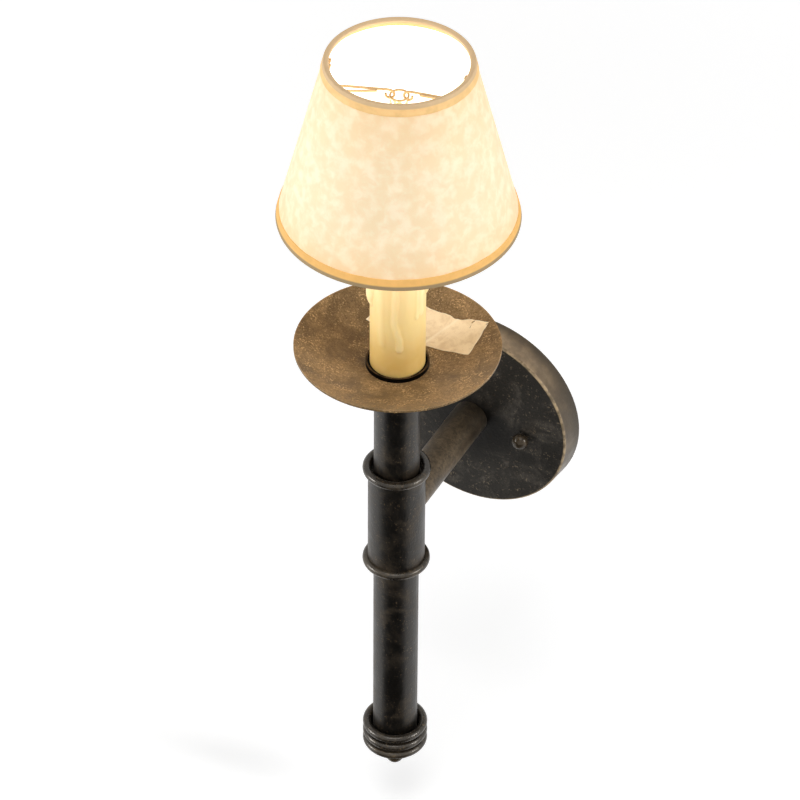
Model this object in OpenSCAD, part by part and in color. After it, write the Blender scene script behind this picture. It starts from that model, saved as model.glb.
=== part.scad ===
// Torch sconce: a wall canopy, a straight pipe arm, an upright pipe stem with a beaded
// sleeve and a ringed finial, a drip pan, a candle cover round a candelabra socket,
// a flame bulb, and a paper shade that clips onto the bulb.
// The origin is the centre of the canopy's wall face. +Y goes into the wall, +Z is up.

/* [Canopy] */
// Radius of the canopy's rim, where it meets the wall
canopy_r = 63.5; // [58:0.5:72]
// How much smaller the canopy's face is than its rim
canopy_flare = 1.4; // [0.6:0.2:4]
// Depth of the canopy, from the wall to its face
canopy_depth = 16.5; // [16:0.5:24]
// Sheet thickness of the canopy
canopy_wall = 1.2; // [0.8:0.1:1.8]
// Radius of the canopy's rounded front edge
canopy_edge_r = 1.4; // [1:0.1:4]

/* [Mounting bracket] */
// Thickness of both bracket bars
bar_t = 1.6; // [1.2:0.1:2]
// Length of the bar that screws to the wall box
box_bar_len = 108; // [104:1:112]
// Width of the bar that screws to the wall box
box_bar_w = 19; // [14:0.5:22]
// Distance between the two wall box screws
box_screw_spacing = 88.9; // [82:0.1:90]
// End-to-end length of the slots for the wall box screws
box_slot_len = 10; // [6:0.5:12]
// Width of the slots for the wall box screws
box_slot_w = 4.6; // [4:0.1:5.5]
// Length of the bar that carries the canopy screws
fixture_bar_len = 84; // [80:1:98]
// Width of the bar that carries the canopy screws
fixture_bar_w = 16; // [12:0.5:18]
// Turn of the canopy screws away from level, in degrees
fixture_bar_turn = -5; // [-10:1:10]
// Distance between the two canopy screws
canopy_screw_spacing = 69.8; // [66:0.1:72]
// Diameter of the canopy screws
canopy_screw_d = 4.2; // [3.6:0.1:4.8]
// Diameter of the ball nuts on the canopy screws
ball_nut_d = 10; // [8:0.5:14]
// Diameter of the rivet that joins the two bars
rivet_d = 9; // [6:0.5:10]
// Distance of the ground screw from the bracket's centre
ground_screw_out = 20; // [17:0.5:24]
// Shank diameter of the ground screw
ground_screw_d = 4.8; // [4:0.1:5.2]

/* [Arm] */
// Distance of the stem's axis from the wall
stem_out = 113.8; // [95:0.5:140]
// Outer diameter of the arm pipe
arm_d = 21.4; // [20:0.2:24]
// Wall thickness of the arm pipe
arm_wall = 1.6; // [1.2:0.1:2.2]
// Outer diameter of the threaded nipples
nipple_d = 9.8; // [9.4:0.1:10.4]
// Bore of the threaded nipples
nipple_bore = 7; // [6.6:0.1:7.6]
// Width of the nipples' lock nuts across their flats
lock_nut_w = 14.3; // [13:0.1:15]
// Thickness of the nipples' lock nuts
lock_nut_t = 4; // [3:0.1:4.2]
// Diameter of the earthing washer under the arm's lock nut
arm_washer_d = 25; // [24.5:0.5:30]
// Length of the threaded plug in the arm's wall end
arm_plug_len = 12; // [8:0.5:20]

/* [Stem] */
// Outer diameter of the stem pipe
stem_d = 26.7; // [24:0.1:29]
// Wall thickness of the stem pipe
stem_wall = 1.6; // [1.2:0.1:2.2]
// Height of the stem's top above the arm's axis
stem_above = 110.8; // [80:0.1:150]
// Depth of the stem's foot below the arm's axis
stem_below = 183; // [120:0.5:240]
// Length of the plugs in the stem's two ends
stem_plug_len = 9; // [6:0.5:14]

/* [Sleeve] */
// Outer diameter of the sleeve
sleeve_d = 33.4; // [31.8:0.1:38]
// Wall thickness of the sleeve
sleeve_wall = 1.5; // [1.1:0.1:1.9]
// Length of the sleeve
sleeve_len = 69.2; // [50:0.2:100]
// Diameter of the round bead at each end of the sleeve
bead_d = 5; // [4:0.1:6]
// How far the beads stand out from the sleeve
bead_proud = 3.1; // [2.6:0.1:3.6]
// Length of the two bushes that centre the sleeve on the stem
bush_len = 7; // [4:0.5:10]
// Distance of each bush from the sleeve's nearer end
bush_inset = 7; // [4:0.5:9]

/* [Finial] */
// Outer diameter of the finial's cup
finial_d = 33.4; // [31.8:0.1:38]
// Wall thickness of the finial's cup
finial_wall = 1.6; // [1.1:0.1:1.9]
// Diameter of the round rings on the finial
finial_ring_d = 4.8; // [4:0.1:5.6]
// Distance from one finial ring to the next
finial_pitch = 6.5; // [5.7:0.1:9]
// How far the finial's rings stand out from its cup
finial_ring_proud = 2.8; // [2.2:0.1:3.2]
// Depth of the finial's closing cap
finial_cap_h = 7.6; // [5:0.1:12]
// Straight edge of the finial's closing cap
finial_cap_edge = 1.6; // [1:0.1:2.5]
// Diameter of the finial's ball
finial_ball_d = 11; // [9:0.1:16]
// Diameter of the stud that holds the finial
finial_stud_d = 4.2; // [3.4:0.1:5]

/* [Drip pan] */
// Diameter of the drip pan
pan_d = 117.4; // [100:0.2:135]
// Rise of the drip pan's rim above its floor
pan_rise = 13.7; // [8:0.1:20]
// Diameter of the drip pan's flat floor
pan_floor_d = 39; // [38.6:0.2:46]
// Sheet thickness of the drip pan
pan_t = 1.2; // [0.8:0.1:2]
// Diameter of the candle cup
cup_d = 36.2; // [35.4:0.1:38.6]
// Height of the candle cup's wall above the pan's floor
cup_h = 2.8; // [1.8:0.1:6]
// Sheet thickness of the candle cup
cup_t = 1; // [0.7:0.1:1.4]

/* [Paper label] */
// Length of the blank paper label
label_w = 67; // [50:1:72]
// Width of the blank paper label
label_h = 25; // [18:0.5:25]
// Thickness of the label
label_t = 0.25; // [0.15:0.05:0.5]
// Sideways place of the label's middle
label_x = 2.5; // [0:0.5:5]
// Distance of the label's middle from the stem's axis, towards the wall
label_y = 32.4; // [32.4:0.1:35]
// Turn of the label on the pan, in degrees
label_turn = -2; // [-4:1:4]

/* [Candle and socket] */
// Diameter of the candle cover
candle_d = 31.6; // [30.6:0.2:34]
// Wall thickness of the candle cover
candle_wall = 3.1; // [2:0.1:3.2]
// Length of the candle cover
candle_len = 101.6; // [70:0.2:140]
// How far the wax drips stand out from the candle cover
drip_proud = 2.2; // [0.6:0.1:2.6]
// Height of the running wax at the candle's top
drip_crown_h = 9; // [5:0.5:20]
// Diameter of the socket's insulating body
socket_d = 22.2; // [21:0.1:22.4]
// Length of the socket's insulating body
socket_len = 29.4; // [26:0.2:36]
// How far the socket's mouth lies below the candle's top
socket_recess = 1.5; // [0.5:0.1:4]
// Wall thickness of the insulating liner round the socket
liner_wall = 0.7; // [0.5:0.05:0.8]
// Width of the strap that holds the socket up
strap_w = 9; // [6:0.5:10]
// Thickness of the strap that holds the socket up
strap_t = 1; // [0.8:0.1:1.3]

/* [Bulb] */
// Length of the bulb, from its contact to its tip
bulb_len = 94.5; // [90:0.5:110]
// Largest diameter of the bulb's glass
bulb_d = 32; // [28:0.5:35]
// Thickness of the bulb's glass
bulb_glass_t = 0.8; // [0.5:0.1:1.2]
// Outer diameter of the bulb's screw base
base_d = 11.9; // [11.7:0.05:12.1]
// Length of the bulb's screw base, with its contact
base_len = 17; // [16:0.5:19]
// Height of the glass's widest part above the base, as a share of the glass
bulb_belly = 0.37; // [0.3:0.01:0.45]
// Sheet thickness of the screw base and of the socket's screw shell
shell_t = 0.35; // [0.25:0.05:0.5]

/* [Shade] */
// Diameter of the shade's lower edge
shade_bottom_d = 135.6; // [115:0.2:150]
// Diameter of the shade's upper edge
shade_top_d = 82; // [76:0.2:95]
// Height of the shade
shade_h = 103.6; // [95:0.2:115]
// Thickness of the shade's paper
paper_t = 0.5; // [0.3:0.1:1]
// Width of the tape round both edges
tape_w = 6.6; // [5:0.1:14]
// Thickness of the tape
tape_t = 0.35; // [0.2:0.05:0.6]
// Diameter of the wire rings at both edges
rim_wire_d = 2; // [1.6:0.1:2.6]

/* [Bulb clip] */
// Diameter of the wire of the shade's two arms
arm_wire_d = 1.5; // [1.2:0.1:1.9]
// Drop of the arms from the shade's upper edge
arm_drop = 19; // [12:0.2:24]
// Turn of the left arm away from the wall's direction, in degrees
left_arm_turn = 25.5; // [0:0.5:60]
// Turn of the right arm away from the wall's direction, in degrees
right_arm_turn = 8; // [0:0.5:60]
// Half of the spread of the left arm's two wires, where they meet the upper ring
left_arm_spread = 2.7; // [1.1:0.1:8]
// Half of the spread of the right arm's two wires, where they meet the upper ring
right_arm_spread = 0.9; // [0.8:0.1:8]
// Diameter of the small ring that the arms hook under, at the middle of its wire
tip_ring_d = 10.1; // [9.6:0.1:13]
// Diameter of the small ring's wire
tip_ring_wire_d = 1.3; // [1:0.1:1.7]
// Diameter of the hooks, at the middle of their wire
hook_d = 4.7; // [4.5:0.1:5.4]
// Diameter of the clip's spring wire
clip_wire_d = 1.3; // [1.1:0.1:1.7]
// Greatest width of each spring loop
clip_loop_w = 17; // [12:0.5:20]

/* [Leads] */
// Outer diameter of each insulated lead
lead_d = 2.2; // [1.8:0.1:2.3]
// Diameter of the wire connectors' mouths
connector_d = 9.6; // [8:0.2:10]
// Length of the wire connectors
connector_len = 18; // [14:0.5:22]
// Height of the wire connectors above the bracket's centre
connector_rise = 27; // [24:0.5:30]

/* [Clearances] */
// Gap round a piece that is pressed or screwed into another
fit_gap = 0.05; // [0.02:0.01:0.08]
// Radial gap round a screw that passes freely through a hole
screw_gap = 0.3; // [0.2:0.05:0.5]
// Gap under a piece that stands or hangs loosely
rest_gap = 0.3; // [0.2:0.05:0.4]
// Thickness of the glue between the shade's paper and its tape
glue_gap = 0.1; // [0.06:0.02:0.2]
// Radial gap between the bulb's base and the socket's screw shell
thread_gap = 0.08; // [0.03:0.01:0.1]

/* [Hidden] */
$fn = 96;
WIRE_SIDES = 8;
MORE = 1; // how far a cutting tool runs past what it cuts

// ---- Derived sizes: bracket, canopy and arm, as heights above the wall
canopy_face_r = canopy_r - canopy_flare;
canopy_back = canopy_depth - canopy_wall;
canopy_in_edge_r = max(canopy_edge_r - canopy_wall, 0.2);
bracket_top = 2 * bar_t;
canopy_screw_r = canopy_screw_d / 2;
screw_nut_w = 2.1 * canopy_screw_d;
screw_nut_t = 3.2;
ball_nut_lift = 0.42 * ball_nut_d;
screw_tip = canopy_depth + ball_nut_lift + 0.26 * ball_nut_d;
ground_screw_place = ground_screw_out * [-cos(fixture_bar_turn), -sin(fixture_bar_turn)];
ground_head_r = 0.9 * ground_screw_d;
rivet_head_r = rivet_d / 2 + 2.4;
rivet_head_t = 0.8;
nipple_r = nipple_d / 2;
nipple_bore_r = nipple_bore / 2;
arm_r = arm_d / 2;
arm_in_r = arm_r - arm_wall;
washer_t = 1;
washer_back = canopy_back - washer_t;
arm_nut_back = washer_back - lock_nut_t;
arm_nipple_back = arm_nut_back - 1.5;
bushing_flange_t = 0.8;
bushing_back = arm_nipple_back - bushing_flange_t;
bushing_bore_r = nipple_bore_r - 0.45;

// ---- Derived sizes: stem, sleeve, finial
stem_r = stem_d / 2;
stem_in_r = stem_r - stem_wall;
sleeve_r = sleeve_d / 2;
sleeve_in_r = sleeve_r - sleeve_wall;
bead_r = bead_d / 2;
sleeve_half = sleeve_len / 2;
bush_z = sleeve_half - bush_inset - bush_len;
wire_hole_r = 6;
finial_r = finial_d / 2;
finial_in_r = finial_r - finial_wall;
finial_ring_r = finial_ring_d / 2;
finial_rings = 3;
finial_cup_h = (finial_rings - 1) * finial_pitch + finial_ring_r;
finial_cup_top = finial_cup_h - stem_below;
finial_ball_r = finial_ball_d / 2;
finial_neck_h = 0.6;
finial_stud_r = finial_stud_d / 2;
finial_cap_foot = -stem_below - finial_cap_h;
finial_ball_z = finial_cap_foot - finial_neck_h - 0.9 * finial_ball_r;
finial_stud_foot = finial_ball_z - 0.3 * finial_ball_r;

// ---- Derived sizes: drip pan and what stands on it
pan_r = pan_d / 2;
pan_floor_r = pan_floor_d / 2;
pan_z = stem_above + pan_t;
pan_centre_rise = (pan_r * pan_r - pan_floor_r * pan_floor_r + pan_rise * pan_rise) / (2 * pan_rise);
pan_sphere_r = norm([pan_floor_r, pan_centre_rise]);
pan_centre_z = pan_z + pan_centre_rise;
label_lift = 0.03;
cup_r = cup_d / 2;
cup_floor_z = pan_z + cup_t;
pan_nut_top = cup_floor_z + lock_nut_t;
top_nipple_foot = stem_above - stem_plug_len - 4;
collar_h = 6;
top_nipple_top = pan_nut_top + collar_h + 0.5;

// ---- Derived sizes: candle, socket, bulb
candle_r = candle_d / 2;
candle_in_r = candle_r - candle_wall;
candle_z = cup_floor_z + rest_gap;
candle_top = candle_z + candle_len;
drip_r = 2.6;
socket_r = socket_d / 2;
socket_top = candle_top - socket_recess;
socket_foot = socket_top - socket_len;
liner_in_r = socket_r + 0.25;
liner_r = liner_in_r + liner_wall;
liner_top = socket_top - 1;
base_r = base_d / 2;
base_seat = 14.4; // how deep the bulb sits below the socket's mouth
bulb_foot = socket_top - base_seat;
base_top = bulb_foot + base_len;
bulb_tip = bulb_foot + bulb_len;
contact_h = 2;
contact_r = 2.6;
insulator_h = 2.2;
insulator_r = base_r - shell_t - 0.1;
screw_shell_in_r = base_r + thread_gap;
screw_shell_r = screw_shell_in_r + shell_t;
screw_shell_foot = bulb_foot + 1;
screw_shell_top = socket_top - 1;
contact_leaf_t = 0.5;
contact_well_r = 4;
contact_well_z = bulb_foot - 3;
bulb_r = bulb_d / 2;
glass_neck_r = base_r - shell_t - 0.1;
glass_foot = base_top - 5;
glass_start = base_top + 0.6;
bulb_mount_h = 26;
belly_z = glass_start + bulb_belly * (bulb_tip - glass_start);

// ---- Derived sizes: bulb clip and shade
tip_ring_r = tip_ring_d / 2;
tip_wire_r = tip_ring_wire_d / 2;
hook_r = hook_d / 2;
arm_wire_r = arm_wire_d / 2;
clip_wire_r = clip_wire_d / 2;
clip_air = 0.35; // gap between the spring loops and the glass
clip_top = bulb_tip + 2;
clip_half_gap = 0.78 * (arm_wire_r + clip_wire_r); // half of the gap between each spring loop's two ends
hook_z = clip_top + hook_r + sqrt(pow(arm_wire_r + clip_wire_r, 2) - pow(clip_half_gap, 2)) - 0.35;
tip_ring_z = hook_z - (hook_r - arm_wire_r - tip_wire_r - 0.3);
arm_z = hook_z + 3.3;
shade_top_z = arm_z + arm_drop;
shade_foot_z = shade_top_z - shade_h;
shade_bottom_r = shade_bottom_d / 2;
shade_top_r = shade_top_d / 2;
shade_slant = norm([shade_bottom_r - shade_top_r, shade_h]);
along = [shade_top_r - shade_bottom_r, shade_h] / shade_slant;
outward = [shade_h, shade_bottom_r - shade_top_r] / shade_slant;
rim_wire_r = rim_wire_d / 2;
rim_inset = tape_t + rim_wire_r;
paper_out = tape_t + glue_gap; // depth of the paper's outer face under the tape's
paper_in = paper_out + paper_t;
rim_depth = paper_in + 2 * glue_gap + rim_wire_r;
fold_depth = rim_depth - 0.3;
upper_rim = on_wall(shade_slant - rim_inset, -rim_depth);
lower_rim = on_wall(rim_inset, -rim_depth);

// ---- Derived sizes: leads
lead_r = lead_d / 2;
lead_x = lead_r + 0.4;
connector_r = connector_d / 2;
connector_out = 9.5; // height of the connectors' axes above the wall
connector_mouth = 6; // distance of each connector's mouth from the middle

// ---- Helpers
// Turns heights above the wall into -Y, and the flat drawing's y into +Z
module from_wall() { rotate([90, 0, 0]) children(); }

module on_stem() { translate([0, -stem_out, 0]) children(); }

module canopy_screw_places() {
    for (side = [-1, 1])
        rotate(fixture_bar_turn) translate([side * canopy_screw_spacing / 2, 0, 0]) children();
}

module ring_tube(outer_r, inner_r, foot, top) {
    translate([0, 0, foot]) difference() {
        cylinder(r = outer_r, h = top - foot);
        translate([0, 0, -MORE]) cylinder(r = inner_r, h = top - foot + 2 * MORE);
    }
}

module hex_nut(width, bore_r, foot, top) {
    translate([0, 0, foot]) difference() {
        cylinder(r = width / 2 / cos(30), h = top - foot, $fn = 6);
        translate([0, 0, -MORE]) cylinder(r = bore_r, h = top - foot + 2 * MORE);
    }
}

module torus(ring_r, wire_r, z) {
    translate([0, 0, z]) rotate_extrude() translate([ring_r, 0]) circle(wire_r);
}

// A round ring on a pipe of radius pipe_r, which ends under the ring's middle
// or, with through, runs on past it
module pipe_ring(pipe_r, ring_r, wire_r, through) {
    rotate_extrude() difference() {
        translate([ring_r, 0]) circle(wire_r);
        translate([0, -wire_r - MORE]) square([pipe_r, wire_r + MORE + (through ? wire_r + MORE : 0)]);
    }
}

function unit(v) = v / norm(v);

// A smooth curve through the points, with n steps from each to the next
function smooth(p, n) = let(last = len(p) - 1) concat(
    [for (i = [0:last - 1], k = [0:n - 1])
        between(p[max(i - 1, 0)], p[i], p[i + 1], p[min(i + 2, last)], k / n)],
    [p[last]]);

function between(a, b, c, d, t) =
    0.5 * (2 * b + (c - a) * t + (2 * a - 5 * b + 4 * c - d) * t * t + (3 * b - a - 3 * c + d) * t * t * t);

function directions(q) = let(last = len(q) - 1)
    [for (i = [0:last]) unit(q[min(i + 1, last)] - q[max(i - 1, 0)])];

function square_to(v, t) = unit(v - (v * t) * t);

function carried(ts, i, v) = i == len(ts) ? [] :
    let(n = square_to(v, ts[i])) concat([n], carried(ts, i + 1, n));

// Round wire of radius r along the points q. side is any direction not along the first step.
module wire(q, r, side = [0, 0, 1], sides = WIRE_SIDES) {
    t = directions(q);
    n = carried(t, 0, side);
    last = len(q) - 1;
    rim = [for (i = [0:last], k = [0:sides - 1])
        q[i] + r * (cos(360 * k / sides) * n[i] + sin(360 * k / sides) * cross(t[i], n[i]))];
    walls = [for (i = [0:last - 1], k = [0:sides - 1]) let(a = i * sides, next = (k + 1) % sides)
        [a + k, a + sides + k, a + sides + next, a + next]];
    polyhedron(rim, concat(walls, [[for (k = [0:sides - 1]) k]],
        [[for (k = [sides - 1:-1:0]) last * sides + k]]), 10);
}

// ---- Canopy and bracket
module canopy_outline(rim_r, face_r, depth, edge) {
    polygon([[0, 0], [rim_r, 0], [face_r, depth - edge], [face_r - edge, depth], [0, depth]]);
    translate([face_r - edge, depth - edge]) circle(edge);
}

module canopy() {
    color([0.17, 0.16, 0.14]) from_wall() difference() {
        rotate_extrude() difference() {
            canopy_outline(canopy_r, canopy_face_r, canopy_depth, canopy_edge_r);
            canopy_outline(canopy_r - canopy_wall, canopy_face_r - canopy_wall, canopy_back,
                canopy_in_edge_r);
        }
        cylinder(r = nipple_r + screw_gap, h = canopy_depth + MORE);
        canopy_screw_places() cylinder(r = canopy_screw_r + screw_gap, h = canopy_depth + MORE);
    }
}

module box_bar() {
    slot_run = box_slot_len - box_slot_w;
    color([0.72, 0.7, 0.62]) from_wall() difference() {
        translate([-box_bar_len / 2, -box_bar_w / 2, 0]) cube([box_bar_len, box_bar_w, bar_t]);
        for (side = [-1, 1]) translate([side * box_screw_spacing / 2, 0, -MORE]) {
            for (end = [-1, 1]) translate([end * slot_run / 2, 0, 0])
                cylinder(d = box_slot_w, h = bar_t + 2 * MORE);
            translate([-slot_run / 2, -box_slot_w / 2, 0]) cube([slot_run, box_slot_w, bar_t + 2 * MORE]);
        }
        translate([0, 0, -MORE]) cylinder(r = rivet_d / 2 + fit_gap, h = bar_t + 2 * MORE);
    }
}

module fixture_bar() {
    color([0.72, 0.7, 0.62]) from_wall() difference() {
        rotate(fixture_bar_turn) translate([-fixture_bar_len / 2, -fixture_bar_w / 2, bar_t])
            cube([fixture_bar_len, fixture_bar_w, bar_t]);
        cylinder(r = rivet_d / 2 + fit_gap, h = bracket_top + MORE);
        canopy_screw_places() cylinder(r = canopy_screw_r + fit_gap, h = bracket_top + MORE);
        translate(ground_screw_place) cylinder(r = ground_screw_d / 2 + fit_gap, h = bracket_top + MORE);
    }
}

module bracket_rivet() {
    color([0.66, 0.64, 0.58]) from_wall() {
        cylinder(d = rivet_d, h = bracket_top + rivet_head_t);
        translate([0, 0, bracket_top]) cylinder(r = rivet_head_r, h = rivet_head_t);
    }
}

module ground_screw() {
    head_foot = bracket_top + lead_d + 2 * fit_gap;
    head_h = 2;
    driver_slot_w = 1.2;
    color([0.2, 0.55, 0.25]) from_wall() translate(ground_screw_place) {
        translate([0, 0, bar_t + fit_gap]) cylinder(d = ground_screw_d, h = head_foot - bar_t);
        translate([0, 0, head_foot]) difference() {
            cylinder(r = ground_head_r, h = head_h);
            translate([-ground_head_r - MORE, -driver_slot_w / 2, head_h / 2])
                cube([2 * ground_head_r + 2 * MORE, driver_slot_w, head_h]);
        }
    }
}

module canopy_screws() {
    color([0.7, 0.66, 0.5]) from_wall() canopy_screw_places()
        translate([0, 0, bar_t + fit_gap]) cylinder(r = canopy_screw_r, h = screw_tip - bar_t - fit_gap);
}

module screw_lock_nuts() {
    color([0.75, 0.72, 0.62]) from_wall() canopy_screw_places()
        hex_nut(screw_nut_w, canopy_screw_r + fit_gap, bracket_top, bracket_top + screw_nut_t);
}

module ball_nuts() {
    color([0.2, 0.18, 0.16]) from_wall() canopy_screw_places() difference() {
        translate([0, 0, canopy_depth + ball_nut_lift]) sphere(d = ball_nut_d);
        translate([-ball_nut_d, -ball_nut_d, 0]) cube([2 * ball_nut_d, 2 * ball_nut_d, canopy_depth]);
        cylinder(r = canopy_screw_r + fit_gap, h = screw_tip + rest_gap);
    }
}

// ---- Arm
module arm_pipe() {
    color([0.19, 0.17, 0.14]) difference() {
        from_wall() ring_tube(arm_r, arm_in_r, canopy_depth, stem_out);
        on_stem() translate([0, 0, -arm_d]) cylinder(r = sleeve_r + fit_gap, h = 2 * arm_d);
    }
}

module arm_plug() {
    color([0.6, 0.58, 0.52]) from_wall()
        ring_tube(arm_in_r - fit_gap, nipple_r + fit_gap, canopy_depth, canopy_depth + arm_plug_len);
}

module arm_nipple() {
    color([0.78, 0.7, 0.45]) from_wall()
        ring_tube(nipple_r, nipple_bore_r, arm_nipple_back, canopy_depth + arm_plug_len - MORE);
}

module arm_washer() {
    color([0.74, 0.72, 0.66]) from_wall()
        ring_tube(arm_washer_d / 2, nipple_r + screw_gap, washer_back, canopy_back);
}

module arm_lock_nut() {
    color([0.78, 0.7, 0.45]) from_wall() hex_nut(lock_nut_w, nipple_r + fit_gap, arm_nut_back, washer_back);
}

module nipple_bushing() {
    color([0.93, 0.93, 0.9]) from_wall() {
        ring_tube(nipple_bore_r - fit_gap, bushing_bore_r, arm_nipple_back, arm_nut_back + 2 * lock_nut_t);
        ring_tube(nipple_r, bushing_bore_r, bushing_back, arm_nipple_back);
    }
}

// ---- Stem and sleeve
module lead_passage() {
    rotate([-90, 0, 0]) cylinder(r = wire_hole_r, h = sleeve_r + MORE);
}

module stem_pipe() {
    color([0.2, 0.18, 0.15]) on_stem() difference() {
        ring_tube(stem_r, stem_in_r, -stem_below, stem_above);
        lead_passage();
    }
}

module stem_top_plug() {
    color([0.6, 0.58, 0.52]) on_stem()
        ring_tube(stem_in_r - fit_gap, nipple_r + fit_gap, stem_above - stem_plug_len, stem_above);
}

module stem_bottom_plug() {
    color([0.6, 0.58, 0.52]) on_stem()
        ring_tube(stem_in_r - fit_gap, finial_stud_r + fit_gap, -stem_below, stem_plug_len - stem_below);
}

module sleeve() {
    color([0.21, 0.19, 0.16]) on_stem() difference() {
        ring_tube(sleeve_r, sleeve_in_r, -sleeve_half, sleeve_half);
        lead_passage();
    }
}

module sleeve_bead() {
    translate([0, 0, sleeve_half])
        pipe_ring(sleeve_r + fit_gap, sleeve_r + bead_proud - bead_r, bead_r, false);
}

module sleeve_bead_upper() {
    color([0.24, 0.21, 0.17]) on_stem() sleeve_bead();
}

module sleeve_bead_lower() {
    color([0.24, 0.21, 0.17]) on_stem() mirror([0, 0, 1]) sleeve_bead();
}

module sleeve_bush() {
    ring_tube(sleeve_in_r - fit_gap, stem_r + fit_gap, bush_z, bush_z + bush_len);
}

module sleeve_bush_upper() {
    color([0.5, 0.48, 0.44]) on_stem() sleeve_bush();
}

module sleeve_bush_lower() {
    color([0.5, 0.48, 0.44]) on_stem() mirror([0, 0, 1]) sleeve_bush();
}

// ---- Finial
module finial_cup() {
    color([0.19, 0.17, 0.14]) on_stem() ring_tube(finial_r, finial_in_r, -stem_below, finial_cup_top);
}

module finial_ring(step) {
    translate([0, 0, finial_cup_top - step * finial_pitch])
        pipe_ring(finial_r + fit_gap, finial_r + finial_ring_proud - finial_ring_r, finial_ring_r, step > 0);
}

module finial_ring_upper() {
    color([0.24, 0.21, 0.17]) on_stem() finial_ring(0);
}

module finial_ring_middle() {
    color([0.24, 0.21, 0.17]) on_stem() finial_ring(1);
}

module finial_ring_lower() {
    color([0.24, 0.21, 0.17]) on_stem() finial_ring(2);
}

module finial_cap() {
    dome_h = finial_cap_h - finial_cap_edge;
    dome_r = (finial_r * finial_r + dome_h * dome_h) / (2 * dome_h);
    edge_z = -stem_below - finial_cap_edge;
    color([0.2, 0.18, 0.15]) on_stem() rotate_extrude() difference() {
        union() {
            translate([0, edge_z]) square([finial_r, finial_cap_edge]);
            intersection() {
                translate([0, finial_cap_foot + dome_r]) circle(dome_r);
                translate([0, finial_cap_foot]) square([finial_r, dome_h]);
            }
            translate([0, finial_cap_foot]) square([0.7 * finial_ball_r, dome_h]);
        }
        translate([0, finial_cap_foot - MORE]) square([finial_stud_r + screw_gap, finial_cap_h + 2 * MORE]);
    }
}

module finial_stud() {
    color([0.7, 0.66, 0.5]) on_stem() translate([0, 0, finial_stud_foot])
        cylinder(r = finial_stud_r, h = stem_plug_len - stem_below + 2 - finial_stud_foot);
}

module finial_ball() {
    color([0.22, 0.2, 0.17]) on_stem() difference() {
        union() {
            translate([0, 0, finial_ball_z]) sphere(finial_ball_r);
            translate([0, 0, finial_ball_z])
                cylinder(r = 0.66 * finial_ball_r, h = finial_cap_foot - finial_ball_z);
        }
        translate([0, 0, finial_stud_foot - 0.1])
            cylinder(r = finial_stud_r + fit_gap, h = finial_cap_foot - finial_stud_foot + MORE);
    }
}

// ---- Drip pan, candle cup and label
// The flat drawing of a layer that lies from near to far above the pan's bowl
module bowl_layer(near, far) {
    intersection() {
        translate([0, pan_centre_z]) difference() {
            circle(pan_sphere_r - near);
            circle(pan_sphere_r - far);
        }
        translate([pan_floor_r, pan_z - 2 * pan_t]) square([pan_r - pan_floor_r, pan_rise + 4 * pan_t]);
    }
}

module drip_pan() {
    color([0.45, 0.36, 0.23]) on_stem() difference() {
        rotate_extrude() {
            bowl_layer(-pan_t, 0);
            translate([0, pan_z - pan_t]) square([pan_floor_r, pan_t]);
        }
        translate([0, 0, pan_z - 2 * pan_t]) cylinder(r = nipple_r + screw_gap, h = 3 * pan_t);
    }
}

module candle_cup() {
    color([0.3, 0.24, 0.16]) on_stem() {
        ring_tube(cup_r, nipple_r + screw_gap, pan_z, cup_floor_z);
        ring_tube(cup_r, cup_r - cup_t, pan_z, pan_z + cup_h);
    }
}

module paper_label() {
    color([0.9, 0.84, 0.7]) on_stem() intersection() {
        rotate_extrude() bowl_layer(label_lift, label_lift + label_t);
        translate([label_x, label_y, pan_z]) rotate(label_turn)
            translate([-label_w / 2, -label_h / 2, -pan_t]) cube([label_w, label_h, pan_rise + 2 * pan_t]);
    }
}

module top_nipple() {
    color([0.78, 0.7, 0.45]) on_stem() ring_tube(nipple_r, nipple_bore_r, top_nipple_foot, top_nipple_top);
}

module pan_lock_nut() {
    color([0.78, 0.7, 0.45]) on_stem() hex_nut(lock_nut_w, nipple_r + fit_gap, cup_floor_z, pan_nut_top);
}

// ---- Socket and candle cover
module socket_bracket() {
    collar_r = nipple_r + 2.4;
    strap_x = liner_in_r - strap_t - 1.2;
    tab_x = -0.5 * socket_r;
    color([0.74, 0.72, 0.66]) on_stem() difference() {
        union() {
            translate([0, 0, pan_nut_top]) cylinder(r = collar_r, h = collar_h);
            translate([0, -strap_w / 2, pan_nut_top]) cube([strap_x + strap_t, strap_w, strap_t]);
            translate([strap_x, -strap_w / 2, pan_nut_top])
                cube([strap_t, strap_w, socket_foot - pan_nut_top]);
            translate([tab_x, -strap_w / 2, socket_foot - strap_t])
                cube([strap_x + strap_t - tab_x, strap_w, strap_t]);
        }
        translate([0, 0, pan_nut_top - MORE]) cylinder(r = nipple_r + fit_gap, h = collar_h + 2 * MORE);
        translate([0, 0, socket_foot - 2 * strap_t])
            cylinder(r = lead_x + lead_r + screw_gap, h = 3 * strap_t);
    }
}

module socket_body() {
    color([0.12, 0.11, 0.1]) on_stem() difference() {
        translate([0, 0, socket_foot]) cylinder(r = socket_r, h = socket_len);
        translate([0, 0, screw_shell_foot - fit_gap])
            cylinder(r = screw_shell_r + fit_gap, h = socket_top - screw_shell_foot + MORE);
        translate([0, 0, contact_well_z]) cylinder(r = contact_well_r, h = screw_shell_foot - contact_well_z);
    }
}

module socket_screw_shell() {
    color([0.8, 0.66, 0.32]) on_stem() {
        ring_tube(screw_shell_r, screw_shell_in_r, screw_shell_foot, screw_shell_top);
        ring_tube(screw_shell_r, contact_well_r + 0.4, screw_shell_foot, screw_shell_foot + shell_t);
    }
}

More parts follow.
